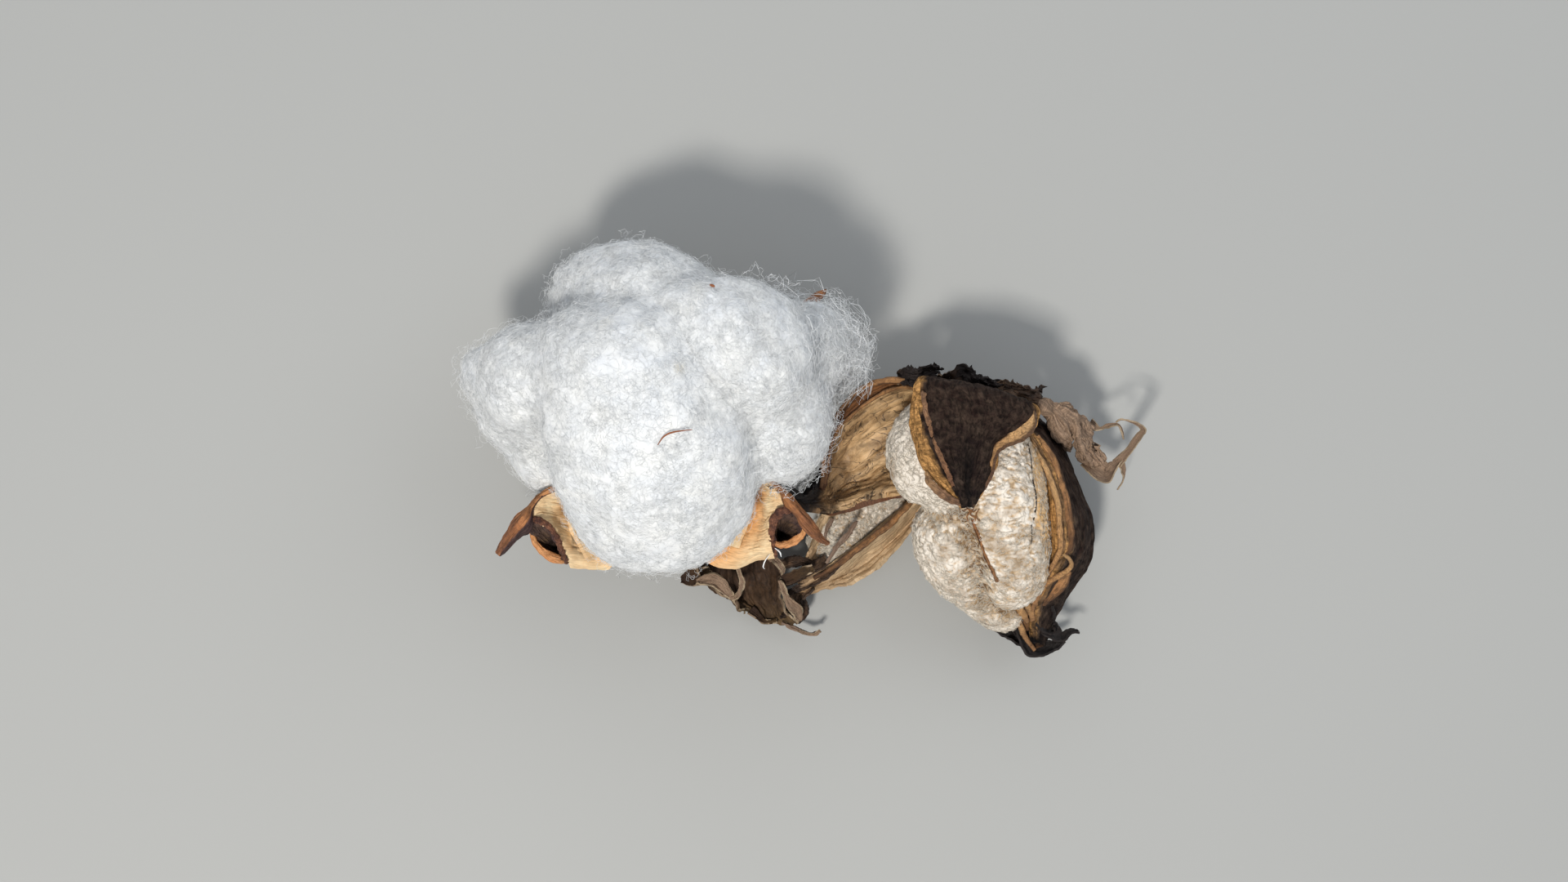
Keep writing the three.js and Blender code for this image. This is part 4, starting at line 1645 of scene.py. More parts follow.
    def front_bract(self) -> dict[str, Leaf]:
        """The bract that shows under the lint: its cupped blade, curled lobe, side fold and teeth.

        Returns:
            The bract's leaves by name.
        """

        def strip(stops: Row, width: Row, turn: Row = (0, 30), wall: float = 0.3,
                  **more: float) -> Leaf:
            """A narrow curled part of the bract."""
            return Leaf(Ribbon(OPEN_WINDOW, stops, width, turn, 0.4), wall, rows=60, columns=12,
                        wrinkle=0.3, wrinkle_size=1.6, ridges=0.2, ridge_count=2, ragged=0.12, **more)

        grey = {"band": (2.0, 2.0)}
        return {
            "blade": Leaf(OPEN_BRACT, 0.35, rows=100, columns=100, wrinkle=0.8, ridges=0.5, ridge_count=6,
                          ragged=0.12, band=(0.015, 0.985)),
            "lobe": strip((1060, 598, 10, 1105, 590, 11, 1158, 594, 11.5, 1205, 632, 11.2, 1248, 684, 10),
                          (0.6, 1.7, 2.2, 1.7, 0.6), (35, -20), **grey),
            "curl": strip((1242, 688, 10, 1271, 672, 11, 1291, 636, 12, 1297, 598, 12.5, 1286, 560, 12.8,
                           1273, 528, 12.8),
                          (0.5, 0.65, 0.7, 0.6, 0.45, 0.3), **grey),
            "hook": strip((1436, 480, 9.4, 1456, 477, 11.6, 1480, 500, 12.6, 1502, 532, 12, 1512, 552, 11),
                          (0.7, 0.8, 0.9, 0.8, 0.4), **grey),
            "fold": strip((1492, 590, 9.5, 1514, 650, 9.5, 1548, 715, 9, 1578, 748, 8, 1596, 800, 6),
                          (0.5, 0.8, 1.6, 1.9, 0.6), (-20, 35), **grey),
            "bridge": strip((1486, 590, 8.5, 1535, 582, 9, 1600, 548, 9.6, 1665, 525, 10),
                            (1.4, 1.8, 1.5, 1.2), (10, -15)),
            "tooth": strip((1526, 818, 3, 1575, 845, 3.4, 1617, 861, 3.8, 1664, 869, 4.2, 1697, 848, 4.8),
                           (0.7, 0.4, 0.3, 0.28, 0.2), wall=0.25, **grey),
            "notch": strip((1340, 742, 2.4, 1378, 776, 2.4, 1402, 798, 2.8, 1440, 804, 3, 1474, 797, 3.4),
                           (1.6, 1.1, 0.7, 0.35, 0.2)),
            "scrap": strip((985, 590, 5, 1030, 578, 6, 1085, 566, 7.5, 1140, 545, 8), (1, 2.6, 2.8, 2),
                           (10, -10)),
        }

    def bracts(self) -> list[Bract]:
        """The dried bracts that the lint hides, from their names in the frame.

        Returns:
            The bracts.
        """
        wide = Half((2.5, 7, 9, 6), CUPPED)
        return [
            Bract("bract_left", Sheet(((-23.2, -1.8, 9.3), (-31, -2, 1.6), (-36.5, -2, 0.4),
                                       (-43, -1.5, 3)), (-32, -2, 60), wide, wide)),
            Bract("bract_back", Sheet(((-20.1, 1.5, 8), (-19, 10, 1.6), (-17.5, 17, 0.4),
                                       (-16.5, 25, 3.5)), (-18, 10, 60), wide, wide)),
        ]

    def fleece(self) -> Fleece:
        """The lint's locks, from their names in the frame.

        Returns:
            The locks together.
        """
        height = 0.86
        return Fleece((
            Lock("lock_front", ((-24.0, 11.3, 39), (-20.8, 0.5, 37), (-19.2, -9.2, 27)), (10, 12.8, 12.5),
                 (-19.8, 0.5, 35), 1.22, height),
            Lock("lock_right", ((-13.5, 18, 37.5), (-7.0, 13.4, 36.5), (-1.8, 2.4, 28), (3.4, 15.2, 26),
                                (8.4, 11.4, 18)),
                 (7.6, 12, 10.2, 7.9, 3.8), (-4.5, 11, 31), 1.0, height),
            Lock("lock_top", ((-14, 17.6, 33), (-21.8, 22.5, 31), (-31, 23.2, 25)), (8, 8.8, 7.2),
                 (-22, 21, 30), 1.0, height),
            Lock("lock_left", ((-30, 12.5, 37), (-40, 10, 31), (-48, 10.8, 25), (-43.4, 4.2, 24),
                               (-37.5, -2, 22)),
                 (8.5, 9, 4.8, 6.4, 7), (-38, 7, 29), 1.0, height),
        ), melt=2.2, groove_width=2.8)

    def loosen(self, points: np.ndarray) -> np.ndarray:
        """Fibres are longer and stand off further at the far right of the lint."""
        away = np.hypot(points[:, 0] - self.loose_place[0], points[:, 1] - self.loose_place[1])
        return 1 + self.loose_gain * np.exp(-(away / self.loose_reach) ** 2)

    def build(self, coats: Coats,
              rng: np.random.Generator) -> list[Piece]:
        """Builds the boll.

        Args:
            coats: the materials by name.
            rng: the seeded source of chance.

        Returns:
            The four locks' smooth forms.
        """
        locks = []
        husk = [coats["open_outer"], coats["open_inner"], coats["open_rim"]]
        looks = {
            "base": [coats["open_outer"], coats["open_inner"], coats["open_inner"]],
            "wall": husk,
            "mouth": [coats["mouth"]] * 3,
            "ridge": [coats["mouth_ridge"]] * 3,
            "lip": [coats["lip"]] * 3,
            # the horn's rim faces take the lighter lip colour: a paler edge that is partly the husk's own
            # and partly painted highlight
            "horn": [coats["open_rim"], coats["open_rim"], coats["lip"]],
        }
        for valve in self.hidden_valves():
            settle(valve.build(husk), "valve", valve.name)
        for name, leaves in self.front_valves().items():
            for part, leaf in leaves.items():
                settle(leaf.build(f"{name}_{part}", looks[part]), "valve", name)
        leaf_coats = [coats["bract_outer"], coats["bract_inner"], coats["bract_rim"]]
        for part, leaf in self.front_bract().items():
            settle(leaf.build(f"bract_front_{part}", leaf_coats), "bract", "bract_front")
        for bract in self.bracts():
            settle(bract.build(leaf_coats), "bract", bract.name)
        fleece = self.fleece()
        for lock, share in zip(fleece.locks, self.share):
            piece, free = fleece.shape(lock)
            plan = planned(corners(piece))
            height = self.lumps * rough(plan, 8.0, 3) + 0.3 * rough(plan, 3.0, 3, 5.0)
            height += 0.05 * rough(plan, 1.0, 2, 9.0)
            groove_depth = np.interp(plan[:, 0], self.groove_places, self.groove_depths)
            height -= groove_depth * fleece.groove(lock, plan) + self.slimmer
            seed = np.zeros(len(plan))
            for x, y, z, size in self.seeds:
                offset = (plan - (x, y, z)) / (size, size, self.seed_depth)
                seed = np.maximum(seed, np.exp(-np.sum(offset ** 2, axis=1)))
            move_to(piece, placed(plan + fleece.outward(plan) * height[:, None]))
            store(piece, "seed", self.seed_show * seed)
            coat_with(piece, coats["lint"])
            smooth(piece, 180)
            settle(piece, "lint", lock.name)
            locks.append(piece)
            wools = [("coat", self.coat), ("fringe", self.fringe)]
            if lock.name == "lock_right":
                wools.append(("wisps", self.wisps))
            for label, wool in wools:
                sized = replace(wool, tufts=round(wool.tufts * share))
                for hair in sized.comb(f"{lock.name}_{label}", piece, free, rng, self.loosen):
                    coat_with(hair, coats["strand"])
                    settle(hair, "lint")
        return locks


# Stops of the dried boll's parts, across and down the window and above the floor.
UPPER_BLADE = Net(DRY_WINDOW, (
    (640, 150, 14, 650, 140, 14, 700, 130, 13, 830, 150, 12, 960, 180, 13, 1040, 200, 14, 1050, 210, 14),
    (600, 116, 24, 606, 112, 25.5, 628, 98, 26, 760, 110, 27, 930, 146, 27, 1068, 202, 26, 1095, 220, 24.5),
    (586, 205, 25, 582, 195, 27.5, 620, 190, 29.5, 780, 200, 31, 940, 225, 30.5, 1090, 234, 28, 1104, 250,
     26),
    (586, 295, 25, 582, 285, 27.8, 636, 285, 30.6, 790, 290, 32, 920, 290, 31, 1030, 290, 28.5, 1090, 305,
     26),
    (599, 375, 25.5, 594, 365, 28, 645, 365, 30.8, 790, 370, 31.4, 890, 360, 30.8, 925, 352, 29, 950, 375,
     27),
    (630, 460, 26, 619, 450, 28, 684, 445, 30.6, 790, 455, 30.4, 865, 445, 30.2, 908, 440, 28.8, 928, 450,
     27.5),
    (700, 545, 27, 691, 535, 28.5, 742, 545, 30, 790, 545, 29.6, 845, 530, 29.8, 884, 525, 28.8, 896, 530,
     27.8),
    (750, 590, 27.5, 745, 585, 28.6, 775, 600, 29.3, 800, 605, 29.2, 828, 598, 29.2, 852, 590, 28.8, 862,
     592, 28),
    (795, 640, 27.5, 797, 642, 28.3, 800, 644, 28.8, 804, 645, 29, 808, 644, 28.8, 814, 640, 28.2, 812,
     642, 27.5)))
UPPER_RIM = Ribbon(DRY_WINDOW,
    (1098, 216, 27.8, 1082, 258, 28.8, 1052, 304, 29.2, 1012, 344, 29.3, 966, 370, 29.4, 935, 396,
     29.5, 921, 436, 29.5, 910, 482, 29.2, 892, 535, 29, 856, 588, 28.9, 812, 636, 28.6),
    (0.5, 2.2, 3.2, 2.3, 1.6, 1.3, 1.1, 1.0, 0.8, 0.6, 0.2), (-10, -20), 0.35)
UPPER_SEAM = Ribbon(DRY_WINDOW,
    (622, 104, 27.4, 616, 180, 30.2, 642, 288, 31.3, 664, 360, 31.5, 694, 438, 31.3, 724, 510, 31, 748,
     561, 30.5),
    (0.3, 0.6, 0.6, 0.55, 0.5, 0.5, 0.3), (0, 0), -0.4)
UPPER_FLAP = Ribbon(DRY_WINDOW,
    (628, 496, 29.4, 646, 545, 29.6, 690, 588, 29.8, 745, 622, 29.6, 812, 642, 29),
    (0.3, 1.1, 1.3, 1.1, 0.3), (0, 15), 0.2)
LEFT_BLADE = Net(DRY_WINDOW, (
    (690, 330, 12, 690, 320, 11, 690, 290, 9, 690, 240, 9, 690, 190, 11, 690, 170, 13),
    (562, 560, 13.5, 556, 525, 12.8, 556, 420, 9, 565, 260, 9, 574, 140, 14, 578, 122, 16),
    (448, 606, 13.5, 437, 568, 12.8, 430, 470, 8.4, 420, 320, 8.4, 425, 190, 12.8, 418, 158, 16),
    (345, 642, 12.8, 335, 604, 12.2, 322, 530, 8, 300, 400, 8, 318, 265, 12.4, 306, 240, 15.8),
    (245, 668, 12.2, 240, 636, 11.8, 235, 580, 8.8, 222, 470, 9, 245, 330, 12.8, 234, 308, 15.4),
    (195, 672, 12.5, 190, 652, 12, 182, 600, 10.6, 178, 530, 11, 208, 420, 13.4, 200, 400, 15),
    (152, 668, 13.5, 150, 652, 13.5, 138, 620, 13, 150, 580, 13.5, 172, 540, 14.5, 176, 515, 15),
    (85, 648, 15.5, 70, 640, 15.8, 60, 615, 16.3, 60, 600, 16.8, 75, 600, 17, 90, 600, 17),
    (0, 575, 18.5, -2, 572, 18.5, -5, 565, 19, -5, 560, 19, 0, 552, 19, 2, 548, 18.5)))
# The channel's dark brown is partly the husk's own brown and partly painted shade inside the rolled rim.
LEFT_CHANNEL = Ribbon(DRY_WINDOW,
    (578, 120, 16.8, 530, 106, 17.4, 468, 111, 17.8, 414, 129, 17.8, 352, 160, 17.7, 301, 198, 17.5,
     262, 240, 17.1, 221, 290, 16.8, 202, 355, 16.4, 190, 440, 16, 181, 520, 15.6, 168, 575, 15.6),
    (0.7, 1.2, 1.9, 2.1, 2.0, 1.8, 1.4, 1.2, 1.0, 0.9, 0.8, 0.4), (10, 25), 0.35)
LEFT_OUTER_RIDGE = Ribbon(DRY_WINDOW,
    (584, 114, 17.6, 537, 97, 18.8, 476, 91, 19.4, 424, 98, 19.5, 363, 118, 19.4, 311, 149, 19.2, 273,
     194, 18.8, 237, 240, 18.4, 206, 304, 17.9, 186, 380, 17.2, 175, 463, 16.6, 172, 520, 16.2, 164,
     566, 16),
    (0.4, 0.7, 0.8, 0.8, 0.7, 0.6, 0.6, 0.6, 0.6, 0.5, 0.5, 0.4, 0.3), (0, 0), -0.4)
LEFT_INNER_RIDGE = Ribbon(DRY_WINDOW,
    (573, 130, 17.2, 522, 122, 18.2, 460, 137, 18.8, 404, 168, 18.8, 342, 209, 18.6, 292, 255, 18.2,
     251, 290, 17.8, 227, 330, 17.4, 211, 371, 17, 201, 422, 16.6, 191, 489, 16.2, 180, 548, 15.8),
    (0.2, 0.35, 0.4, 0.4, 0.4, 0.4, 0.4, 0.35, 0.35, 0.3, 0.3, 0.2), (0, 0), -0.4)
LOWER_BLADE = Net(DRY_WINDOW, (
    (600, 480, 8, 600, 520, 6.5, 600, 560, 6, 600, 580, 8, 610, 600, 6, 620, 620, 5),
    (480, 540, 9, 490, 600, 5.5, 530, 650, 5, 548, 645, 8.5, 565, 700, 4, 560, 765, 5),
    (380, 600, 9, 400, 670, 4.5, 440, 730, 4.5, 460, 730, 8, 485, 780, 3, 480, 860, 4.5),
    (260, 640, 8.5, 300, 720, 4, 345, 805, 4, 368, 800, 7.5, 400, 850, 2.5, 390, 940, 4),
    (170, 670, 8, 205, 770, 4, 260, 870, 4, 280, 872, 7, 310, 915, 2.5, 290, 995, 3.5),
    (140, 750, 7.5, 160, 840, 5, 190, 920, 4.5, 205, 925, 6.5, 220, 960, 3.5, 190, 1015, 4),
    (110, 860, 8, 110, 900, 6.5, 115, 950, 6, 125, 960, 7, 125, 990, 5.5, 110, 1025, 5),
    (70, 960, 8, 65, 970, 7.5, 60, 985, 7.5, 60, 995, 7.5, 58, 1005, 7, 50, 1015, 6.5)))
RIGHT_BLADE = Net(DRY_WINDOW, (
    (860, 420, 4, 900, 380, 4, 1080, 260, 8, 1090, 270, 13, 1060, 310, 17, 1040, 330, 17.5, 1000, 380, 14),
    (900, 520, 2.5, 960, 480, 2.5, 1155, 330, 8, 1150, 335, 16, 1118, 338, 20, 1075, 350, 20.5, 1050, 380,
     18),
    (930, 640, 1.5, 1010, 610, 1.5, 1225, 450, 8, 1222, 455, 15, 1192, 465, 20.5, 1142, 462, 21.3, 1105,
     480, 19.3),
    (950, 760, 1.5, 1050, 740, 1.5, 1290, 600, 9, 1282, 600, 16, 1240, 610, 21, 1196, 600, 21.8, 1145, 600,
     20),
    (960, 880, 1.5, 1080, 870, 2, 1340, 725, 9.5, 1325, 725, 16, 1262, 730, 20.8, 1213, 730, 21.5, 1168,
     730, 19.3),
    (975, 950, 1.5, 1090, 940, 2, 1342, 830, 9.5, 1325, 830, 15.5, 1258, 825, 19.8, 1219, 823, 20.2, 1180,
     815, 18),
    (985, 1000, 1.5, 1095, 1000, 2, 1322, 900, 9, 1305, 900, 14, 1240, 868, 18.6, 1203, 876, 18.8, 1172,
     880, 16.5),
    (1000, 1060, 2, 1095, 1060, 2.5, 1285, 975, 8.5, 1265, 975, 13, 1205, 955, 17.5, 1160, 945, 17.6, 1135,
     950, 15.5),
    (1020, 1100, 2.5, 1100, 1100, 3, 1240, 1045, 8, 1225, 1040, 12, 1160, 1030, 15.5, 1120, 1020, 15.8,
     1105, 1020, 14),
    (1040, 1150, 3.5, 1100, 1150, 4, 1200, 1120, 7.5, 1190, 1110, 10.5, 1130, 1095, 13, 1100, 1085, 13.2,
     1085, 1080, 12.5),
    (1075, 1220, 5.5, 1095, 1230, 5.5, 1170, 1195, 7.5, 1155, 1190, 9.5, 1120, 1180, 10.5, 1100, 1170,
     10.8, 1085, 1160, 10.5),
    (1090, 1265, 7, 1100, 1268, 7, 1140, 1262, 8, 1140, 1257, 9, 1115, 1245, 9.5, 1105, 1240, 9.5, 1092,
     1242, 9.5)))
RIGHT_RIMS = {
    "rim_inner": ((1070, 350, 21.2, 1136, 446, 22, 1178, 540, 22.5, 1208, 643, 22.8, 1214, 730, 22.4, 1219,
                   823, 21, 1203, 874, 19.8, 1167, 936, 18.4, 1131, 987, 17, 1108, 1050, 15.2, 1096, 1106,
                   13.4), (0.4, 0.7, 0.8, 0.7, 0.7, 0.6, 0.6, 0.6, 0.6, 0.5, 0.3)),
    "rim_outer": ((1116, 338, 20.8, 1176, 422, 21.4, 1208, 512, 21.8, 1238, 602, 22, 1256, 708, 21.8, 1266,
                   772, 21.2, 1256, 833, 20.4, 1234, 862, 19.6), (0.5, 0.9, 1.1, 1.1, 1.0, 0.9, 0.8, 0.5)),
    "rim_loop": ((1228, 858, 19.8, 1258, 880, 19.8, 1267, 904, 19.4, 1252, 928, 19, 1206, 958, 18.2, 1160,
                  988, 17.2, 1128, 1030, 16, 1104, 1088, 14), (0.4, 0.5, 0.55, 0.55, 0.6, 0.6, 0.5, 0.3)),
    "skirt": ((1248, 930, 17.8, 1216, 985, 16.8, 1172, 1034, 15.4, 1136, 1078, 13.6), (1.6, 2.4, 2.2, 1.2)),
    "lip_a": ((952, 1036, 14.4, 1003, 1090, 13.8, 1039, 1167, 11.8, 1060, 1219, 9.8, 1104, 1281, 7.8),
              (0.4, 0.8, 0.8, 0.7, 0.4)),
    "lip_b": ((1003, 1050, 14.6, 1049, 1116, 13.4, 1075, 1160, 11.8), (0.7, 1.1, 0.6)),
    "lip_c": ((1052, 1052, 14.6, 1084, 1104, 13.4, 1097, 1150, 11.9), (0.6, 1.0, 0.6)),
    "throat": ((1000, 1040, 13.4, 1044, 1112, 12, 1078, 1190, 9.8), (3.2, 3.6, 2.2)),
}
LOWER_RIDGE = Ribbon(DRY_WINDOW,
    (575, 618, 9.4, 548, 645, 9.6, 505, 688, 9.4, 460, 732, 9.2, 368, 802, 8.8, 280, 873, 8.2, 205,
     926, 7.6, 130, 965, 7.6),
    (0.3, 0.7, 0.8, 0.9, 1.0, 1.0, 0.8, 0.4), (10, 30), -0.4)
LOWER_TWISTS = {
    "end_a": ((190, 890, 7.6, 120, 920, 7.8, 60, 960, 8, 0, 1000, 8), (2.2, 1.8, 1.6, 0.6)),
    "end_b": ((130, 1000, 6, 60, 1040, 5.5, 30, 1100, 5, -20, 1140, 5), (2.2, 2.6, 2.2, 0.7)),
    "end_c": ((60, 1040, 5, 80, 1110, 4.5, 60, 1165, 4), (2.4, 2.2, 0.6)),
    "end_d": ((-30, 900, 8, 60, 890, 8, 140, 900, 8), (1.8, 1.8, 0.6)),
    "end_e": ((250, 905, 7, 180, 950, 7, 110, 985, 7, 50, 1012, 7, -10, 1050, 6.5), (0.8, 1.4, 1.5, 1.4,
               0.5)),
}
LOWER_STRIPS = {
    "hair": ((-10, 1160, 4, 60, 1190, 3.5, 120, 1212, 3, 158, 1197, 3), (0.4, 0.4, 0.3, 0.2)),
    "awn_a": ((320, 715, 12, 270, 790, 11, 215, 835, 10), (0.2, 0.6, 0.5)),
    "awn_b": ((300, 760, 11, 250, 800, 11, 185, 900, 9), (0.3, 0.5, 0.4)),
    "awn_c": ((215, 700, 11, 185, 760, 10, 180, 800, 10), (0.3, 0.5, 0.4)),
}
RIGHT_STRIPS = {
    "end_a": ((1120, 1150, 10, 1170, 1190, 9, 1220, 1225, 8, 1265, 1200, 7.5, 1303, 1203, 7), (3, 3, 2,
               1, 0.5)),
    "end_b": ((1030, 1130, 9, 1065, 1230, 8, 1100, 1282, 7, 1180, 1270, 6, 1245, 1238, 6.5), (2, 3, 3,
               2.5, 1)),
    "end_c": ((870, 1125, 6, 950, 1180, 5, 1020, 1230, 5, 1085, 1285, 5), (1, 2.5, 3, 3)),
    "end_d": ((1140, 1080, 12, 1150, 1160, 10, 1180, 1190, 9, 1195, 1165, 10), (3.5, 3.5, 2, 1.5)),
}
BRACT_TEETH = {
    "lobe": ((1335, 440, 9, 1385, 490, 9.5, 1420, 508, 9, 1460, 475, 9, 1492, 445, 9), (3, 3.6, 3.4, 2.4,
              1.4)),
    "tooth_a": ((1345, 285, 11, 1390, 306, 11, 1430, 292, 12, 1470, 290, 13, 1490, 320, 13, 1497, 352,
                 12), (2, 0.8, 0.6, 0.6, 0.5, 0.3)),
    "tooth_b": ((1470, 455, 9, 1520, 400, 11, 1560, 345, 13, 1582, 315, 14, 1570, 292, 14.5, 1530, 272,
                 14.5, 1490, 262, 14, 1462, 278, 13.5), (1.8, 1.2, 1.1, 0.9, 0.7, 0.5, 0.4, 0.3)),
    "tooth_c": ((1485, 455, 9, 1497, 490, 8, 1490, 530, 7, 1468, 575, 6), (1.2, 0.7, 0.5, 0.3)),
}
BRACT_SCRAPS = {
    "scrap_a": ((495, 92, 17, 540, 76, 19, 600, 82, 20, 650, 60, 20, 695, 66, 19), (2, 3, 3, 3.5, 2)),
    "scrap_b": ((745, 115, 19, 790, 84, 21, 830, 100, 21, 880, 118, 21, 945, 148, 20), (2.5, 4.5, 3, 3,
                 3)),
    "scrap_c": ((900, 158, 20, 970, 142, 21, 1040, 156, 20, 1100, 176, 19, 1145, 160, 17), (3, 3.5, 3.5,
                 4, 2.5), (30, -20), 2.0),
    "scrap_d": ((640, 170, 12, 760, 160, 14, 900, 185, 15, 1060, 235, 14), (6, 8, 8, 6)),
}
NEAR_BRACT = Net(DRY_WINDOW, (
    (1075, 200, 14, 1080, 180, 16, 1085, 165, 16, 1090, 150, 14),
    (1112, 206, 13, 1120, 200, 18, 1130, 192, 18.5, 1146, 182, 17),
    (1165, 247, 12.5, 1175, 240, 17.5, 1190, 228, 18, 1214, 208, 17),
    (1177, 300, 12, 1195, 290, 16.5, 1225, 272, 17, 1268, 248, 16),
    (1213, 342, 11.5, 1225, 330, 15.5, 1240, 312, 16, 1263, 294, 15.5),
    (1243, 372, 11, 1247, 360, 14, 1252, 348, 14.5, 1258, 336, 14.5),
    (1256, 396, 11, 1256, 388, 12.5, 1256, 380, 13, 1256, 372, 13.5)))
FAR_BRACT = Net(DRY_WINDOW, (
    (1180, 215, 17, 1195, 205, 17.5, 1212, 202, 17, 1230, 198, 16),
    (1250, 285, 16, 1275, 262, 16.8, 1298, 245, 15.5, 1314, 232, 14),
    (1275, 340, 14.5, 1295, 315, 16.4, 1318, 290, 15, 1336, 267, 13),
    (1284, 402, 13, 1305, 375, 15.4, 1330, 345, 14, 1354, 321, 12),
    (1292, 434, 10.5, 1320, 410, 13.4, 1350, 390, 12.5, 1378, 380, 11),
    (1332, 456, 9, 1350, 440, 11.8, 1375, 430, 11.5, 1402, 424, 10.5),
    (1370, 490, 8, 1385, 480, 9.5, 1400, 468, 10, 1415, 458, 10)))


@dataclass
class DriedBoll:
    """The dried boll: stiff, dark valves round locks of matted lint."""

    wear: dict[str, float] = field(default_factory=lambda: {
        "dry_lock_left": -0.45, "dry_lock_lower": 0.05, "dry_lock_right": 0.1, "dry_lock_stuck": 0.45,
    })
    grain: dict[str, tuple[float, float]] = field(default_factory=lambda: {
        "dry_lock_left": (0.9, 0.6), "dry_lock_lower": (0.8, 1.0), "dry_lock_right": (0.45, 1.2),
        "dry_lock_stuck": (1.0, 0.8)})
    clean: dict[str, float] = field(default_factory=lambda: {
        "dry_lock_left": 0.75, "dry_lock_lower": 0.14, "dry_lock_right": -0.04, "dry_lock_stuck": -0.02})
    fold_height: float = 0.36
    groove_depth: float = 1.8
    slimmer: float = 0.15
    # base level of the stored height, which carries each lock's own whiteness and painted shade
    tone_and_shade: float = 0.35
    border: float = 40.0
    matting: Wool = Wool(tufts=480, per_tuft=4, length=2.0, lift=0.14, crimp=1.1, radius=0.04, steps=6)
    looks: dict[str, Sequence[str]] = field(default_factory=lambda: {
        "gold": ("rim", "rim_inner", "rim_loop", "lip_a", "lip_b", "lip_c"),
        "tan_rim": ("rim_outer", "skirt", "throat", "outer_ridge", "inner_ridge", "ridge"),
        "awn": ("awn_a", "awn_b", "awn_c", "hair"),
        "flap": ("flap",),
        "fuzz": ("seam",),
        "channel": ("channel",),
        "frayed": ("scrap_c",),
    })

    def valves(self) -> dict[str, dict[str, Leaf]]:
        """The four valves, the lower left and the right ones with their frayed tips.

        Returns:
            The leaves of each valve by name.
        """
        fine = {"rows": 90, "columns": 90, "wrinkle": 0.35, "wrinkle_size": 5.0}
        edge = {"rows": 90, "columns": 12, "wrinkle": 0.2, "wrinkle_size": 1.4, "outline": 0.8}
        thin = {"rows": 40, "columns": 10, "char_and_shade": -1.0, "wrinkle": 0.3, "wrinkle_size": 1.5,
                "ragged": 0.35}

        def strip(stops: Row, width: Row, turn: Row = (0, 60)) -> Leaf:
            """A dark strip of the frayed tips."""
            return Leaf(Ribbon(DRY_WINDOW, stops, width, turn, 0.5), 0.4, **thin)

        def twist(stops: Row, width: Row, turn: Row = (-40, 70)) -> Leaf:
            """A brown, twisted strip of the frayed tips."""
            return replace(strip(stops, width, turn), char_and_shade=2.0, outline=0.8, rows=70, columns=16)

        return {
            "dry_valve_upper": {
                "blade": Leaf(UPPER_BLADE, 1.1, ridges=0.3, ridge_count=14, band=(0.325, 0.86), keel=0.53,
                              **fine),
                "rim": Leaf(UPPER_RIM, 0.6, rows=110, columns=18, wrinkle=0.3, wrinkle_size=1.8,
                            outline=0.9),
                "seam": Leaf(UPPER_SEAM, 0.4, rows=80, columns=10, wrinkle=0.3, wrinkle_size=0.9,
                             ragged=0.1),
                "flap": Leaf(UPPER_FLAP, 0.5, rows=44, columns=16, wrinkle=0.3, wrinkle_size=1.2,
                             ragged=0.15),
            },
            "dry_valve_left": {
                "blade": Leaf(LEFT_BLADE, 1.0, ridges=0.6, ridge_count=7, band=(0.05, 0.985), char_and_shade=0.64,
                              **fine),
                "channel": Leaf(LEFT_CHANNEL, 0.6, rows=120, columns=16, wrinkle=0.25, wrinkle_size=2.0,
                                ridges=0.15, ridge_count=2),
                "outer_ridge": Leaf(LEFT_OUTER_RIDGE, 0.45, **edge),
                "inner_ridge": Leaf(LEFT_INNER_RIDGE, 0.35, **edge),
            },
            "dry_valve_lower_left": {
                "blade": Leaf(LOWER_BLADE, 0.7, ridges=0.35, ridge_count=9, char_and_shade=0.93, ragged=0.12, **fine),
                "ridge": Leaf(LOWER_RIDGE, 0.5, rows=110, columns=14, wrinkle=0.25, wrinkle_size=1.6,
                              outline=0.8),
                **{part: twist(*shape) for part, shape in LOWER_TWISTS.items()},
                **{part: strip(*shape) for part, shape in LOWER_STRIPS.items()},
            },
            "dry_valve_right": {
                "blade": Leaf(RIGHT_BLADE, 1.0, ridges=0.35, ridge_count=12, band=(-1.0, 0.66),
                              seams=(0.66, 0.7, 0.76, 0.8, 0.84), char_and_shade=0.86, turned=True, **fine),
                **{part: Leaf(Ribbon(DRY_WINDOW, *rim, (0, 0), -0.4), 0.5, **edge)
                   for part, rim in RIGHT_RIMS.items()},
                **{part: strip(*shape) for part, shape in RIGHT_STRIPS.items()},
            },
        }

    def bracts(self) -> dict[str, dict[str, Leaf]]:
        """The dried bracts: a crumpled blade with curled teeth at the right, and dark scraps behind.

        Returns:
            The leaves of each bract by name.
        """

        def tooth(stops: Row, width: Row, turn: Row = (0, 70)) -> Leaf:
            """A curled tooth or lobe."""
            return Leaf(Ribbon(DRY_WINDOW, stops, width, turn, 0.5), 0.25, rows=50, columns=10, wrinkle=0.3,
                        wrinkle_size=2.0, band=(2.0, 2.0), ragged=0.15)

        def scrap(stops: Row, width: Row, turn: Row = (30, -20),
                  char_and_shade: float = 0.1) -> Leaf:
            """A dark, torn scrap."""
            return Leaf(Ribbon(DRY_WINDOW, stops, width, turn, 0.4), 0.35, rows=44, columns=26, wrinkle=1.0,
                        wrinkle_size=2.2, char_and_shade=char_and_shade, ragged=0.75)

        narrow = Half((2.5, 6, 7, 4), CUPPED)

        def crumpled(net: Net) -> Leaf:
            """A crumpled blade."""
            return Leaf(net, 0.35, rows=80, columns=50, wrinkle=1.2, wrinkle_size=3.0, ridges=0.5,
                        ridge_count=4, band=(2.0, 2.0), ragged=0.2)

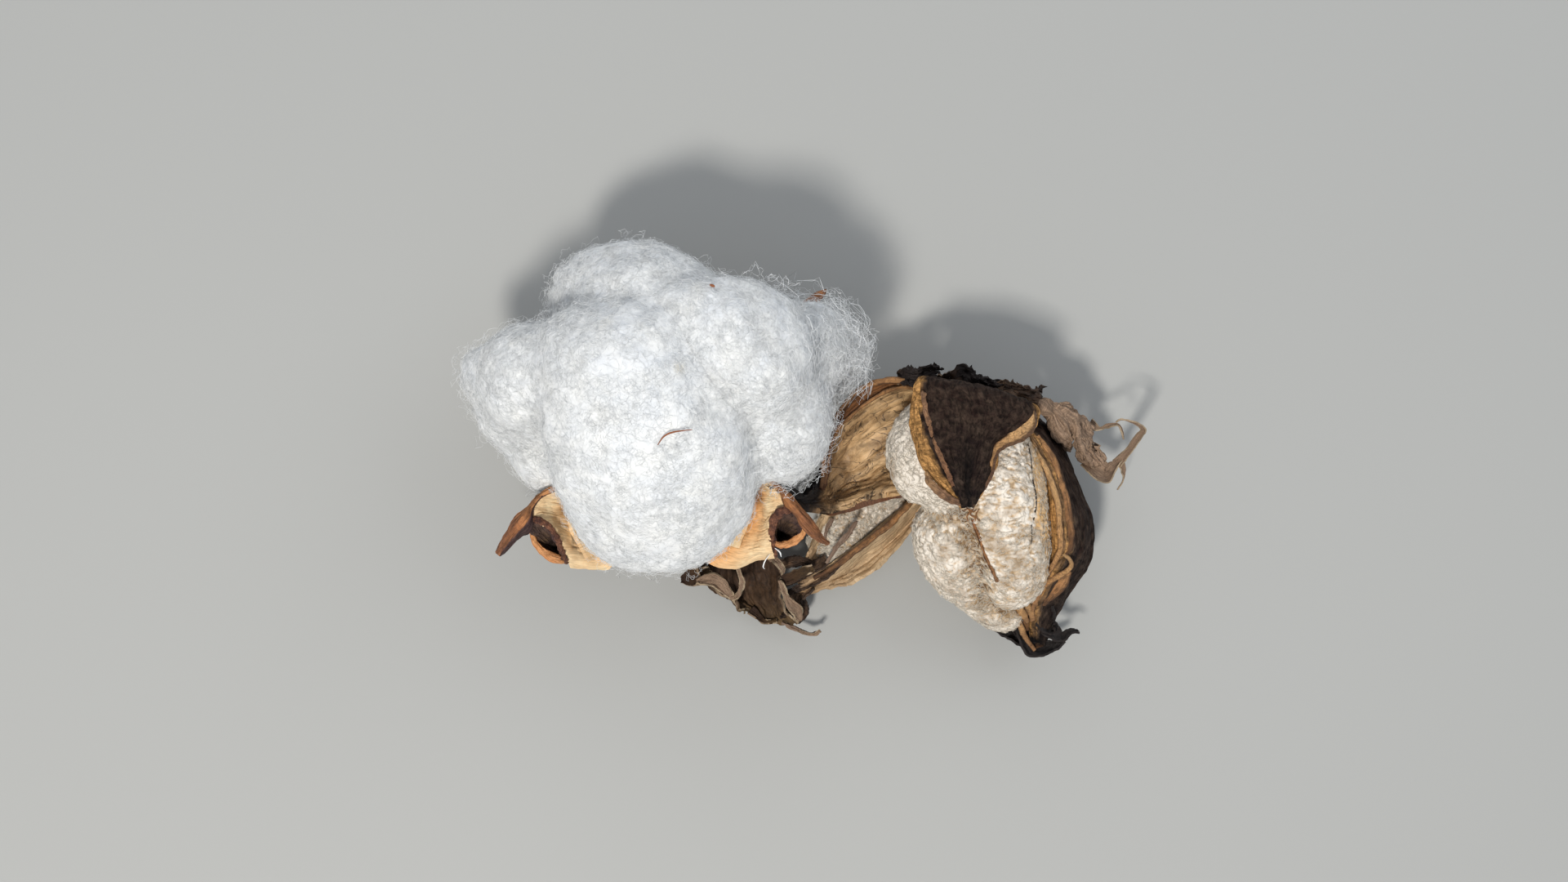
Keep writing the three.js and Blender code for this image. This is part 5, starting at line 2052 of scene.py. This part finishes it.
        return {
            "dry_bract_right": {
                "near_blade": crumpled(NEAR_BRACT),
                "far_blade": crumpled(FAR_BRACT),
                **{part: tooth(*shape) for part, shape in BRACT_TEETH.items()},
            },
            "dry_bract_top": {
                **{part: scrap(*shape) for part, shape in BRACT_SCRAPS.items()},
            },
            "dry_bract_under": {
                "blade": Leaf(Sheet(((28.5, 1.5, 4.5), (22, -2.5, 1.6), (14, -7.5, 0.8), (9, -11.5, 2.5)),
                                    (20, -5, 60), narrow, narrow), 0.35, wrinkle=0.4, ragged=0.3),
            },
        }

    def cracks(self, locks: Sequence[Piece]) -> dict[str, Leaf]:
        """The septum that shows between two locks and the fine crack in the right one, a dark strip of
        painted shade, laid on the locks.

        Args:
            locks: the locks' forms.

        Returns:
            The leaves by name.
        """
        sliver = ((833, 705), (846, 740), (866, 790), (879, 833), (893, 870), (910, 910), (926, 945),
                  (942, 980))
        split = ((1074, 366), (1086, 420), (1092, 480), (1098, 540), (1111, 607), (1108, 665), (1100, 705),
                 (1090, 735), (1093, 782), (1090, 813))
        septum = Ribbon(DRY_WINDOW, laid(DRY_WINDOW, sliver, locks, 0.15),
                        (0.08, 0.26, 0.28, 0.26, 0.22, 0.18, 0.12, 0.05), (0, 0), 0.3)
        crack = Ribbon(DRY_WINDOW, laid(DRY_WINDOW, split, locks, 0.05), (0.06, 0.16, 0.22, 0.15, 0.06),
                       (0, 0), 0.0)
        tangle = (
            ((802, 650), (818, 672), (806, 696), (822, 728)),
            ((838, 655), (822, 684), (842, 700), (838, 736)),
            ((858, 662), (846, 690), (862, 715)),
            ((792, 668), (812, 660), (834, 672), (848, 664)))
        leaves = {}
        for k, stops in enumerate(tangle):
            thread = Ribbon(DRY_WINDOW, laid(DRY_WINDOW, stops, locks, 0.45), (0.1, 0.2, 0.1))
            leaves[f"thread_{k}"] = Leaf(thread, 0.1, rows=24, columns=4, wrinkle=0.1)
        leaves["septum"] = Leaf(septum, 0.5, rows=60, columns=14, wrinkle=0.2, wrinkle_size=2.0,
                                ridges=0.3, ridge_count=3, outline=0.9)
        # the crack: a dark ribbon laid on the lock, painted shade in the split, all in the charred colour
        leaves["crack"] = Leaf(crack, 0.3, rows=70, columns=6, wrinkle=0.15, wrinkle_size=1.0, char_and_shade=-1.0)
        return leaves

    def fleece(self) -> Fleece:
        """The matted locks, from their names in the frame.

        Returns:
            The locks together.
        """
        height = 1.1
        return Fleece((
            Lock("dry_lock_left", ((24.2, 2.0, 18), (23.2, -3.4, 20), (27.4, -12.6, 21)), (4.0, 5.3, 3.0),
                 (22.8, -3, 20), 1.0, height, 6),
            Lock("dry_lock_lower", ((27, -11.5, 19), (30.2, -18.9, 16), (37, -28.5, 10)), (5, 6.7, 3.6),
                 (30.4, -18.9, 16), 1.0, height),
            Lock("dry_lock_right", ((34.4, 0, 19.6), (34.8, -10.8, 20), (36.7, -22.3, 16.6)),
                 (4.7, 7.8, 6.1), (34.8, -10.5, 19.8), 1.0, height),
            Lock("dry_lock_stuck", ((18.2, -8.8, 5.6), (11.4, -13.4, 4.8), (6.8, -18.4, 4.6)),
                 (2.2, 2.9, 2.0), (12.0, -13.2, 5), 1.2, 0.75, 6),
        ), melt=0.6, groove_width=1.3)

    def build(self, coats: Coats, rng: np.random.Generator) -> None:
        """Builds the boll, given the materials by name and the seeded source of chance.

        Args:
            coats: the materials by name.
            rng: the seeded source of chance.
        """
        husk = [coats["dark_outer"], coats["tan_inner"], coats["tan_rim"]]
        leaf_coats = [coats["bract_outer"], coats["bract_inner"], coats["bract_rim"]]
        own = {part: [coats[coat]] * 3 for coat, parts in self.looks.items() for part in parts}
        for group, looks, slot in ((self.valves(), husk, "dry_valve"),
                                   (self.bracts(), leaf_coats, "bract")):
            for name, leaves in group.items():
                for part, leaf in leaves.items():
                    usual = looks
                    if name == "dry_valve_lower_left":
                        usual = [coats["paper" if part == "blade" else "frayed"]] * 3
                    settle(leaf.build(f"{name}_{part}", own.get(part, usual)), slot, name)
        fleece = self.fleece()
        locks = []
        for lock in fleece.locks:
            piece, free = fleece.shape(lock)
            plan = planned(corners(piece))
            pulled = plan * (*self.grain[lock.name], 1.0)
            folds = creased(pulled, 1.5) * 0.5 + creased(pulled, 0.75, 4.0) * 0.5
            height = self.fold_height * folds + 0.5 * rough(plan, 6.0, 2, 2.0)
            height += 0.2 * rough(plan, 0.9, 3, 8.0)
            groove = fleece.groove(lock, plan)
            height -= self.groove_depth * groove + self.slimmer
            move_to(piece, placed(plan + fleece.outward(plan) * height[:, None]))
            # painted shade and highlight: the stored height rises on fold ridges and falls in creases and
            # in the grooves between locks, over each lock's own whiteness from clean
            tone_and_shade = self.tone_and_shade + self.clean[lock.name] + folds * 0.9 - 0.6 * groove
            store(piece, "height", np.clip(tone_and_shade, 0, 1))
            low_right = np.clip((plan[:, 0] - 34) / 8, 0, 1) * np.clip((-10 - plan[:, 1]) / 10, 0, 1)
            worn = 0.4 + 1.1 * rough(plan, 6.0, 3, 6.0) + self.wear[lock.name] + 0.5 * low_right
            store(piece, "worn", worn)
            border = self.border + 2.0 * np.clip((-plan[:, 1] - 14) / 4, 0, 1)
            gilt = np.clip((plan[:, 0] - border) / 0.6, 0, 1) * (0.9 + 0.6 * rough(plan, 3.0, 3, 7.0))
            store(piece, "gilt", np.clip(gilt if lock.name == "dry_lock_right" else 0 * worn, 0, 1))
            coat_with(piece, coats["matted"])
            smooth(piece, 180)
            settle(piece, "dry_lock", lock.name)
            locks.append(piece)
            for hair in self.matting.comb(f"{lock.name}_fibres", piece, free, rng):
                coat_with(hair, coats["grey_strand"])
                settle(hair, "dry_lock")
        for part, leaf in self.cracks(locks).items():
            settle(leaf.build(f"dry_lock_{part}", [coats["septum"]] * 3), "dry_lock")


@dataclass(frozen=True)
class Litter:
    """Small things caught on the lint: a curved brown hair, a speck and a few loose threads."""

    above: float = 0.75

    def build(self, coats: Coats, locks: Sequence[Piece]) -> None:
        """Builds them, given the materials by name and the locks that they lie on.

        Args:
            coats: the materials by name.
            locks: the locks that they lie on.
        """
        hair = ((862, -105), (895, -150), (945, -172), (1040, -185))
        speck = ((1130, -930), (1145, -925), (1155, -920))
        hairs = {
            "lint_hair": (laid(OPEN_WINDOW, hair, locks, self.above), 0.13),
            "lint_speck": (laid(OPEN_WINDOW, speck, locks, self.above), 0.22),
            "thread_a": (((1440, 455, 19), (1415, 490, 19), (1405, 520, 18.5), (1412, 532, 18)), 0.1),
            "thread_b": (((1465, 425, 21), (1490, 445, 20.5), (1498, 470, 20)), 0.12),
        }
        for name, (stops, radius) in hairs.items():
            piece = taper(name, OPEN_WINDOW.plan(stops), (radius * 0.4, radius, radius, radius * 0.4), 8,
                          24)
            coat_with(piece, coats["hair"] if name.startswith("lint") else coats["strand"])
            smooth(piece)
            settle(piece, "lint")


@dataclass(frozen=True)
class Seat:
    """The button that carries a boll's valves and bracts, with the cut stalk under it."""

    name: str
    place: Row
    lean: Row
    button: float
    height: float
    stalk: float
    length: float

    def build(self, coat: bpy.types.Material) -> Piece:
        """Makes the seat from a bar along its axis, thick at the button and thin at the stalk.

        Args:
            coat: its material.

        Returns:
            The finished piece.
        """
        axis = unit(np.asarray(self.lean, float))
        start = np.asarray(self.place, float) - axis * self.length
        end = np.asarray(self.place, float) + axis * self.height / 2
        stops = [start + (end - start) * t for t in np.linspace(0, 1, 6)]
        radii = (self.stalk, self.stalk, self.stalk * 1.1, self.button * 0.75, self.button,
                 self.button * 0.55)
        piece = taper(self.name + "_stalk", stops, radii, 40, 60)
        coat_with(piece, coat)
        lifted = corners(piece)
        lifted[:, 2] = np.maximum(lifted[:, 2], 0.0)
        move_to(piece, lifted)
        smooth(piece)
        return piece


def finishes() -> Coats:
    """Makes every finish once.

    Returns:
        The materials by name.
    """
    effects = Effects()
    made = [
        LintFinish(),
        StrandFinish(),
        MattedFinish(),
        StrandFinish(name="awn", colour=linear(118, 96, 80), roughness=0.6),
        HuskFinish("gold", (224, 178, 122), (212, 160, 104), (184, 134, 88), (74, 46, 30), blotches=0.35,
                   scale=500.0, across=12.0, along=60.0, relief=0.9, gloss=0.45, streak_dark=0.6,
                   lines=0.4),
        HuskFinish("fuzz", (190, 144, 108), (180, 132, 94), (160, 112, 80), (86, 60, 50), blotches=0.6,
                   scale=1200.0, across=20.0, along=40.0, relief=1.0, streak_dark=0.55),
        # channel: the husk's brown, darkened as painted shade inside the left valve's rolled rim
        HuskFinish("channel", (150, 100, 56), (112, 70, 38), (84, 52, 32), (58, 34, 20), blotches=0.6,
                   scale=600.0, across=14.0, relief=0.8, streak_dark=0.5),
        HuskFinish("paper", (206, 174, 134), (204, 176, 138), (170, 138, 102), (150, 118, 84),
                   blotches=0.45, scale=300.0, across=50.0, relief=0.8, gloss=0.4, streak_dark=0.7,
                   lines=0.35, line_scale=420.0, char_and_shade=(70, 50, 36)),
        HuskFinish("frayed", (128, 100, 76), (104, 78, 58), (84, 62, 46), (44, 31, 24), blotches=0.7,
                   scale=600.0, across=18.0, relief=1.0, streak_dark=0.45),
        HuskFinish("flap", (200, 158, 112), (178, 136, 100), (150, 112, 84), (84, 60, 48), blotches=0.7,
                   scale=900.0, across=14.0, relief=1.0, streak_dark=0.6),
        StrandFinish(name="hair", colour=linear(140, 84, 52), roughness=0.5),
        HuskFinish("septum", (150, 98, 60), (182, 126, 76), (150, 108, 72), (80, 54, 34), blotches=0.5,
                   scale=900.0),
        StrandFinish(name="grey_strand", colour=linear(214, 205, 190), roughness=0.5),
        HuskFinish("open_inner", (224, 156, 88), (240, 216, 174), (238, 212, 170), (206, 146, 82),
                   blotches=0.4, scale=240.0, relief=0.4, streak_dark=0.8),
        HuskFinish("open_outer", (104, 78, 58), (70, 52, 52), (52, 38, 44), (132, 104, 72), blotches=0.5,
                   scale=900.0, roughness=0.65),
        HuskFinish("open_rim", (196, 138, 88), (176, 114, 70), (160, 106, 70), (96, 62, 46),
                   blotches=0.6, scale=700.0, across=22.0, along=3.0, relief=0.9, streak_dark=0.5,
                   band=(74, 50, 48)),
        # mouth: the husk's dark purple-brown at the lip, going to near black deep in the funnel, which is
        # painted shadow inside the rolled valve
        HuskFinish("mouth", (92, 66, 58), (104, 80, 58), (22, 15, 15), (58, 44, 50), blotches=0.6,
                   scale=900.0, across=40.0, relief=1.0, streak_dark=0.45),
        HuskFinish("mouth_ridge", (160, 108, 78), (138, 92, 70), (160, 108, 76), (66, 40, 40),
                   blotches=0.85, scale=900.0, across=20.0, along=30.0, relief=0.9, streak_dark=0.5),
        HuskFinish("lip", (226, 170, 116), (212, 152, 100), (206, 150, 102), (186, 118, 66),
                   blotches=0.5, scale=600.0, across=20.0, streak_dark=0.7),
        HuskFinish("dark_outer", (44, 27, 21), (35, 23, 20), (28, 20, 20), (88, 72, 60), blotches=0.5,
                   scale=600.0, roughness=0.75, across=60.0, along=26.0, relief=1.4, gloss=0.12,
                   streak_dark=0.4, band=(206, 154, 94), char_and_shade=(15, 11, 11)),
        HuskFinish("tan_inner", (226, 190, 140), (204, 168, 124), (168, 134, 98), (120, 88, 52),
                   blotches=0.75, scale=200.0, relief=0.9, gloss=0.5, across=30.0, along=12.0,
                   streak_dark=0.58, lines=0.9, band=(196, 150, 98)),
        HuskFinish("tan_rim", (188, 138, 88), (164, 116, 72), (110, 76, 48), (64, 42, 30), blotches=0.6,
                   scale=700.0, across=26.0, streak_dark=0.5, lines=0.4, band=(100, 62, 36)),
        # bracts: their own dark brown, darkened further towards the base, which is painted shade where the
        # front bract runs under the lint
        HuskFinish("bract_outer", (62, 42, 28), (76, 54, 34), (96, 74, 46), (40, 27, 18), blotches=0.5,
                   scale=300.0, roughness=0.75, across=40.0, streak_dark=0.6, lines=0.5,
                   band=(150, 124, 102)),
        HuskFinish("bract_inner", (56, 36, 24), (70, 48, 28), (92, 70, 42), (38, 25, 16), blotches=0.5,
                   scale=300.0, roughness=0.7, across=40.0, streak_dark=0.6, lines=0.5,
                   band=(150, 124, 102)),
        HuskFinish("bract_rim", (120, 98, 76), (140, 118, 94), (160, 140, 114), (90, 70, 52),
                   band=(160, 140, 114), blotches=0.4),
        HuskFinish("stalk", (110, 88, 64), (96, 76, 54), (84, 66, 46), (50, 38, 28), blotches=0.6,
                   across=30.0),
    ]
    return {finish.name: finish.material(effects) for finish in made}


@dataclass(frozen=True)
class Studio:
    """Camera, floor and lights."""

    floor_size: float = 3.0
    floor_colour: Colour = linear(168, 168, 165)
    floor_roughness: float = 0.85
    key_power: float = 3.8
    fill_power: float = 1.6
    sky: tuple[float, float, float, float] = (0.82, 0.87, 0.95, 1)
    sky_strength: float = 0.45
    nearest: float = 0.01

    def build(self) -> None:
        """Sets up the camera above the bolls, the floor under them and the lights round them."""
        eye = placed(np.array([0.0, 0.0, EYE_HEIGHT]))
        camera = bpy.data.cameras.new("camera")
        camera.lens = LENS
        camera.sensor_width = SENSOR
        camera.clip_start = self.nearest
        holder = bpy.data.objects.new("camera", camera)
        holder.location = eye
        bpy.context.scene.collection.objects.link(holder)
        bpy.context.scene.camera = holder
        deselect()
        bpy.ops.mesh.primitive_plane_add(size=self.floor_size)
        floor = take("floor")
        coat = bpy.data.materials.new("floor")
        coat.use_nodes = True
        shader = coat.node_tree.nodes["Principled BSDF"]
        Board.tint(shader.inputs["Base Color"], self.floor_colour)
        Board.set(shader, Roughness=self.floor_roughness)
        coat_with(floor, coat)
        self.lamp("key", (-0.14, -0.30, 0.62), 0.1, self.key_power, (1.0, 0.97, 0.92))
        self.lamp("fill", (0.5, 0.35, 0.5), 0.6, self.fill_power, (0.9, 0.95, 1.0))
        self.lamp("back", (-0.1, 0.6, 0.35), 0.5, self.fill_power * 0.6, (0.95, 0.97, 1.0))
        world = bpy.data.worlds.new("world")
        world.use_nodes = True
        Board.set(world.node_tree.nodes["Background"], Color=self.sky, Strength=self.sky_strength)
        bpy.context.scene.world = world
        bpy.context.scene.view_settings.view_transform = "Standard"

    @staticmethod
    def lamp(name: str, place: Row, size: float, power: float,
             colour: Colour) -> None:
        """Adds one square lamp that looks at the bolls.

        Args:
            name: its name.
            place: where it stands, in metres.
            size: its side.
            power: its power.
            colour: its colour.
        """
        light = bpy.data.lights.new(name, "AREA")
        light.size = size
        light.energy = power
        light.color = colour
        lamp = bpy.data.objects.new(name, light)
        lamp.location = place
        lamp.rotation_euler = (-Vector(place)).to_track_quat("-Z", "Y").to_euler()
        bpy.context.scene.collection.objects.link(lamp)


def main() -> None:
    """Builds the bolls in order and reports each piece."""
    logging.basicConfig(level=logging.INFO, format="%(message)s")
    rng = np.random.default_rng(SEED)
    Studio().build()
    coats = finishes()
    seats = (
        Seat("seat", (-20.3, -0.8, 12), (0, 0.34, 0.94), 4.2, 4, 1.9, 11.2),
        Seat("dry_seat", (31.5, 2.2, 8.5), (0, -0.66, 0.75), 3.6, 3.6, 1.7, 10),
    )
    for seat in seats:
        settle(seat.build(coats["stalk"]), "stalk", seat.name)
    lint = OpenBoll().build(coats, rng)
    DriedBoll().build(coats, rng)
    Litter().build(coats, lint)


if __name__ == "__main__":
    main()
